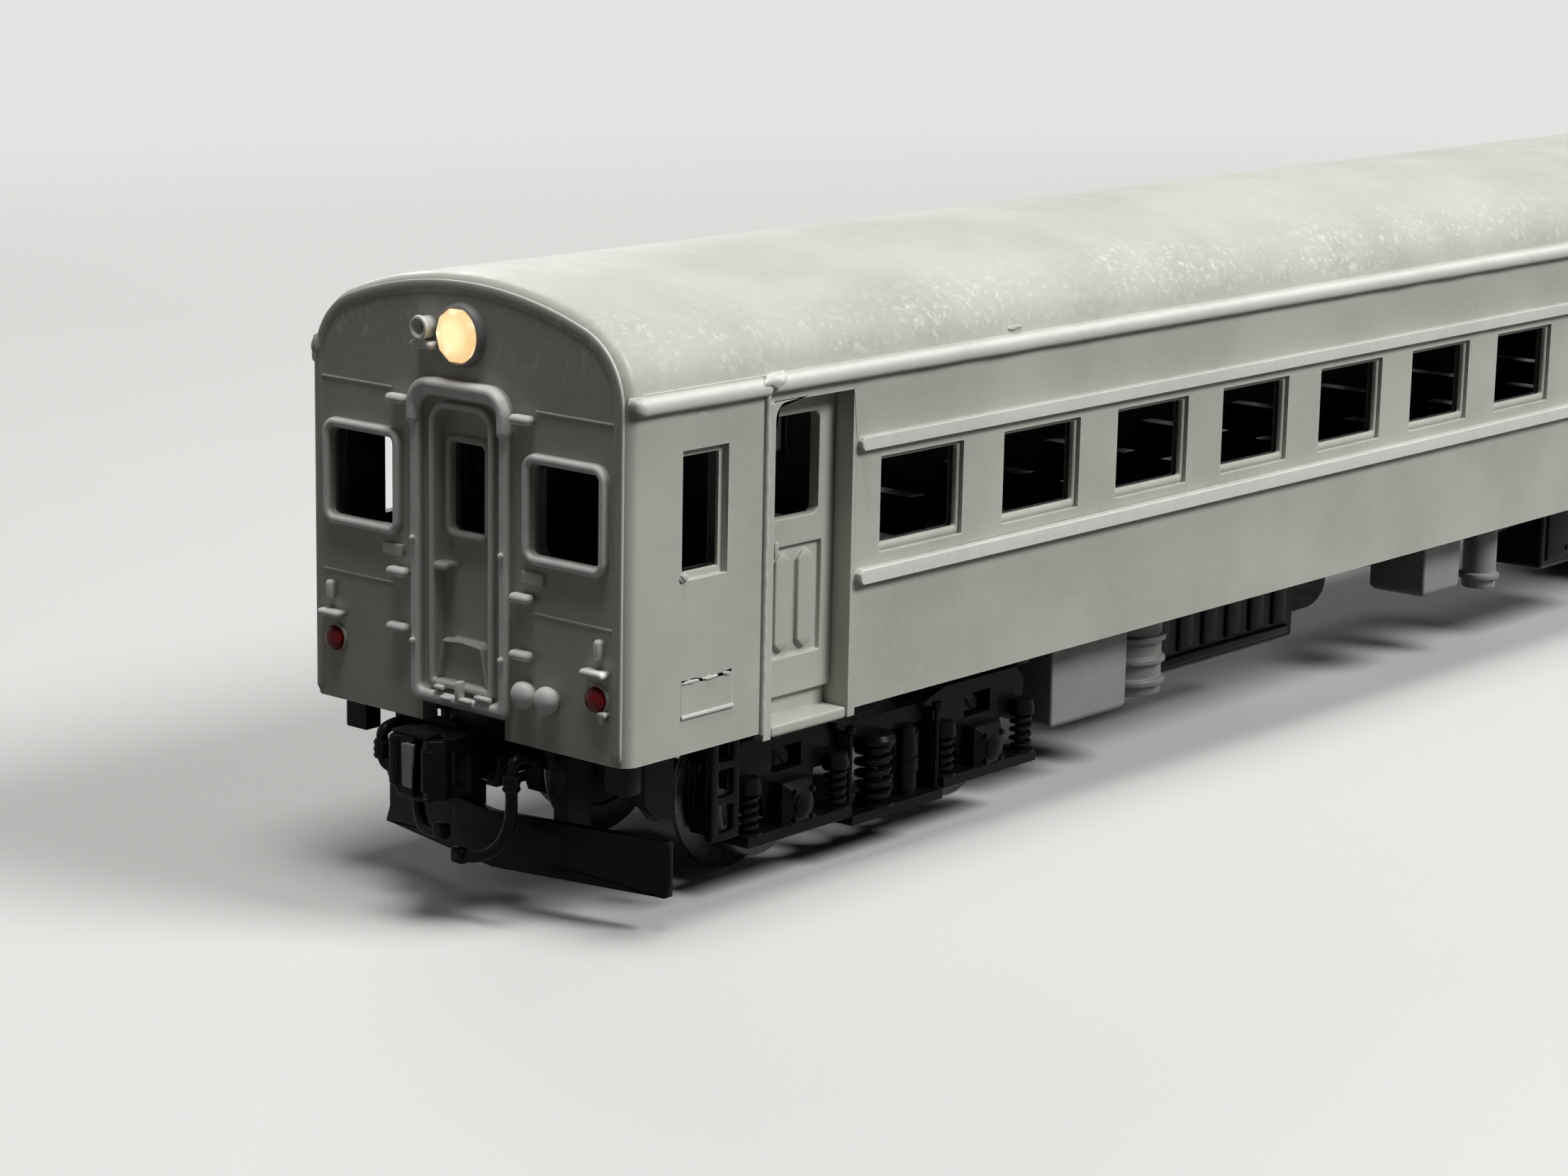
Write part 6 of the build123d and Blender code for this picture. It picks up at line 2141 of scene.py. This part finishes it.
@dataclass
class Studio:
    """Floor, lamps, world and the camera at the photograph's angle.

    A lamp is its name, place, target, size in millimetres and watts.
    """

    floor_half: float = 4000.0
    floor_level: float = -0.02
    lamps: tuple[tuple[str, Row, Row, float, float], ...] = (
        ("top_lamp", (-100.0, -50.0, 520.0), (-10.0, 0.0, 0.0), 220.0, 1.8),
        ("side_lamp", (130.0, -400.0, 400.0), (0.0, 0.0, 14.0), 220.0, 3.1),
        ("back_lamp", (200.0, 420.0, 260.0), (0.0, 0.0, 14.0), 260.0, 0.9),
    )
    world_colour: Triple = (0.975, 0.975, 0.965)
    world_light: float = 0.03
    world_seen: float = 0.8
    camera_place: Triple = (-169.93, -108.41, 47.87)
    azimuth: float = -49.5633
    elevation: float = 12.4564
    roll: float = 1.0930
    focal_pixels: float = 5146.44
    image_width: float = 2212.0
    sensor: float = 36.0
    clip: Pair = (0.002, 20.0)

    def build(self) -> None:
        """Makes the floor, the lights, the world and the camera."""
        self.lay_floor()
        self.hang_lamps()
        self.set_world()
        self.set_camera()
        bpy.context.scene.view_settings.view_transform = "Standard"

    def lay_floor(self) -> None:
        """Lays the plain floor at the flange tips."""
        span = np.linspace(-self.floor_half, self.floor_half, 9)
        x, y = np.meshgrid(span, span, indexing="ij")
        floor = write_piece("floor", grid(np.stack([x, y, np.full_like(x, self.floor_level)], -1)))
        floor.data.materials.append(PaleFloor().build())

    def hang_lamps(self) -> None:
        """Hangs soft lamps: a large one above, one beside the car, and a weak one behind."""
        for name, place, target, size, watts in self.lamps:
            light = bpy.data.lights.new(name, "AREA")
            light.shape = "DISK"
            light.size = size * MM
            light.energy = watts
            lamp = bpy.data.objects.new(name, light)
            bpy.context.scene.collection.objects.link(lamp)
            aim = np.asarray(target) - np.asarray(place)
            aim /= np.linalg.norm(aim)
            side = np.cross(aim, (0.0, 0.0, 1.0))
            side /= np.linalg.norm(side)
            turn = Matrix(np.stack([side, np.cross(side, aim), -aim], 1).tolist())
            lamp.matrix_world = Matrix.LocRotScale(np.asarray(place) * MM, turn, None)

    def set_world(self) -> None:
        """Gives a weak even light, and white to the camera."""
        world = bpy.data.worlds.new("studio")
        bpy.context.scene.world = world
        world.use_nodes = True
        tree = world.node_tree
        tree.nodes.clear()
        path = tree.nodes.new("ShaderNodeLightPath")
        background = tree.nodes.new("ShaderNodeBackground")
        output = tree.nodes.new("ShaderNodeOutputWorld")
        seen = tree.nodes.new("ShaderNodeMath")
        seen.operation = "MAXIMUM"
        tree.links.new(path.outputs["Is Camera Ray"], seen.inputs[0])
        tree.links.new(path.outputs["Is Glossy Ray"], seen.inputs[1])
        strength = tree.nodes.new("ShaderNodeMapRange")
        strength.inputs["To Min"].default_value = self.world_light
        strength.inputs["To Max"].default_value = self.world_seen
        tree.links.new(seen.outputs[0], strength.inputs[0])
        tree.links.new(strength.outputs[0], background.inputs["Strength"])
        background.inputs["Color"].default_value = rgba(self.world_colour)
        tree.links.new(background.outputs[0], output.inputs[0])

    def set_camera(self) -> None:
        """Stands the camera where the photograph was taken from."""
        data = bpy.data.cameras.new("camera")
        data.sensor_fit = "HORIZONTAL"
        data.sensor_width = self.sensor
        data.lens = self.focal_pixels / self.image_width * self.sensor
        data.clip_start, data.clip_end = self.clip
        camera = bpy.data.objects.new("camera", data)
        bpy.context.scene.collection.objects.link(camera)
        azimuth, elevation, roll = (math.radians(a) for a in (self.azimuth, self.elevation, self.roll))
        back = np.array([
            math.sin(azimuth) * math.cos(elevation),
            -math.cos(azimuth) * math.cos(elevation),
            math.sin(elevation),
        ])
        right = np.cross((0.0, 0.0, 1.0), back)
        right /= np.linalg.norm(right)
        up = np.cross(back, right)
        leaning_right = math.cos(roll) * right + math.sin(roll) * up
        leaning_up = -math.sin(roll) * right + math.cos(roll) * up
        turn = Matrix(np.stack([leaning_right, leaning_up, back], 1).tolist())
        camera.matrix_world = Matrix.LocRotScale(np.asarray(self.camera_place) * MM, turn, None)
        bpy.context.scene.camera = camera


def main() -> None:
    """Loads the frame and builds every sub-assembly in order."""
    logging.basicConfig(level=logging.INFO, format="%(name)s: %(message)s")
    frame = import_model()
    shop = Workshop(frame, Finishes())
    Studio().build()
    BodyShell().build(shop)
    EndMouldings().build(shop)
    SideTrim().build(shop)
    Lamps().build(shop)
    Coupler().build(shop)
    BrakeHoses().build(shop)
    Underframe().build(shop)
    Truck(End.FRONT, (1, 2)).build(shop)
    Truck(End.REAR, (3, 4)).build(shop)
    LOG.info("%d pieces made", len(shop.made))


if __name__ == "__main__":
    main()
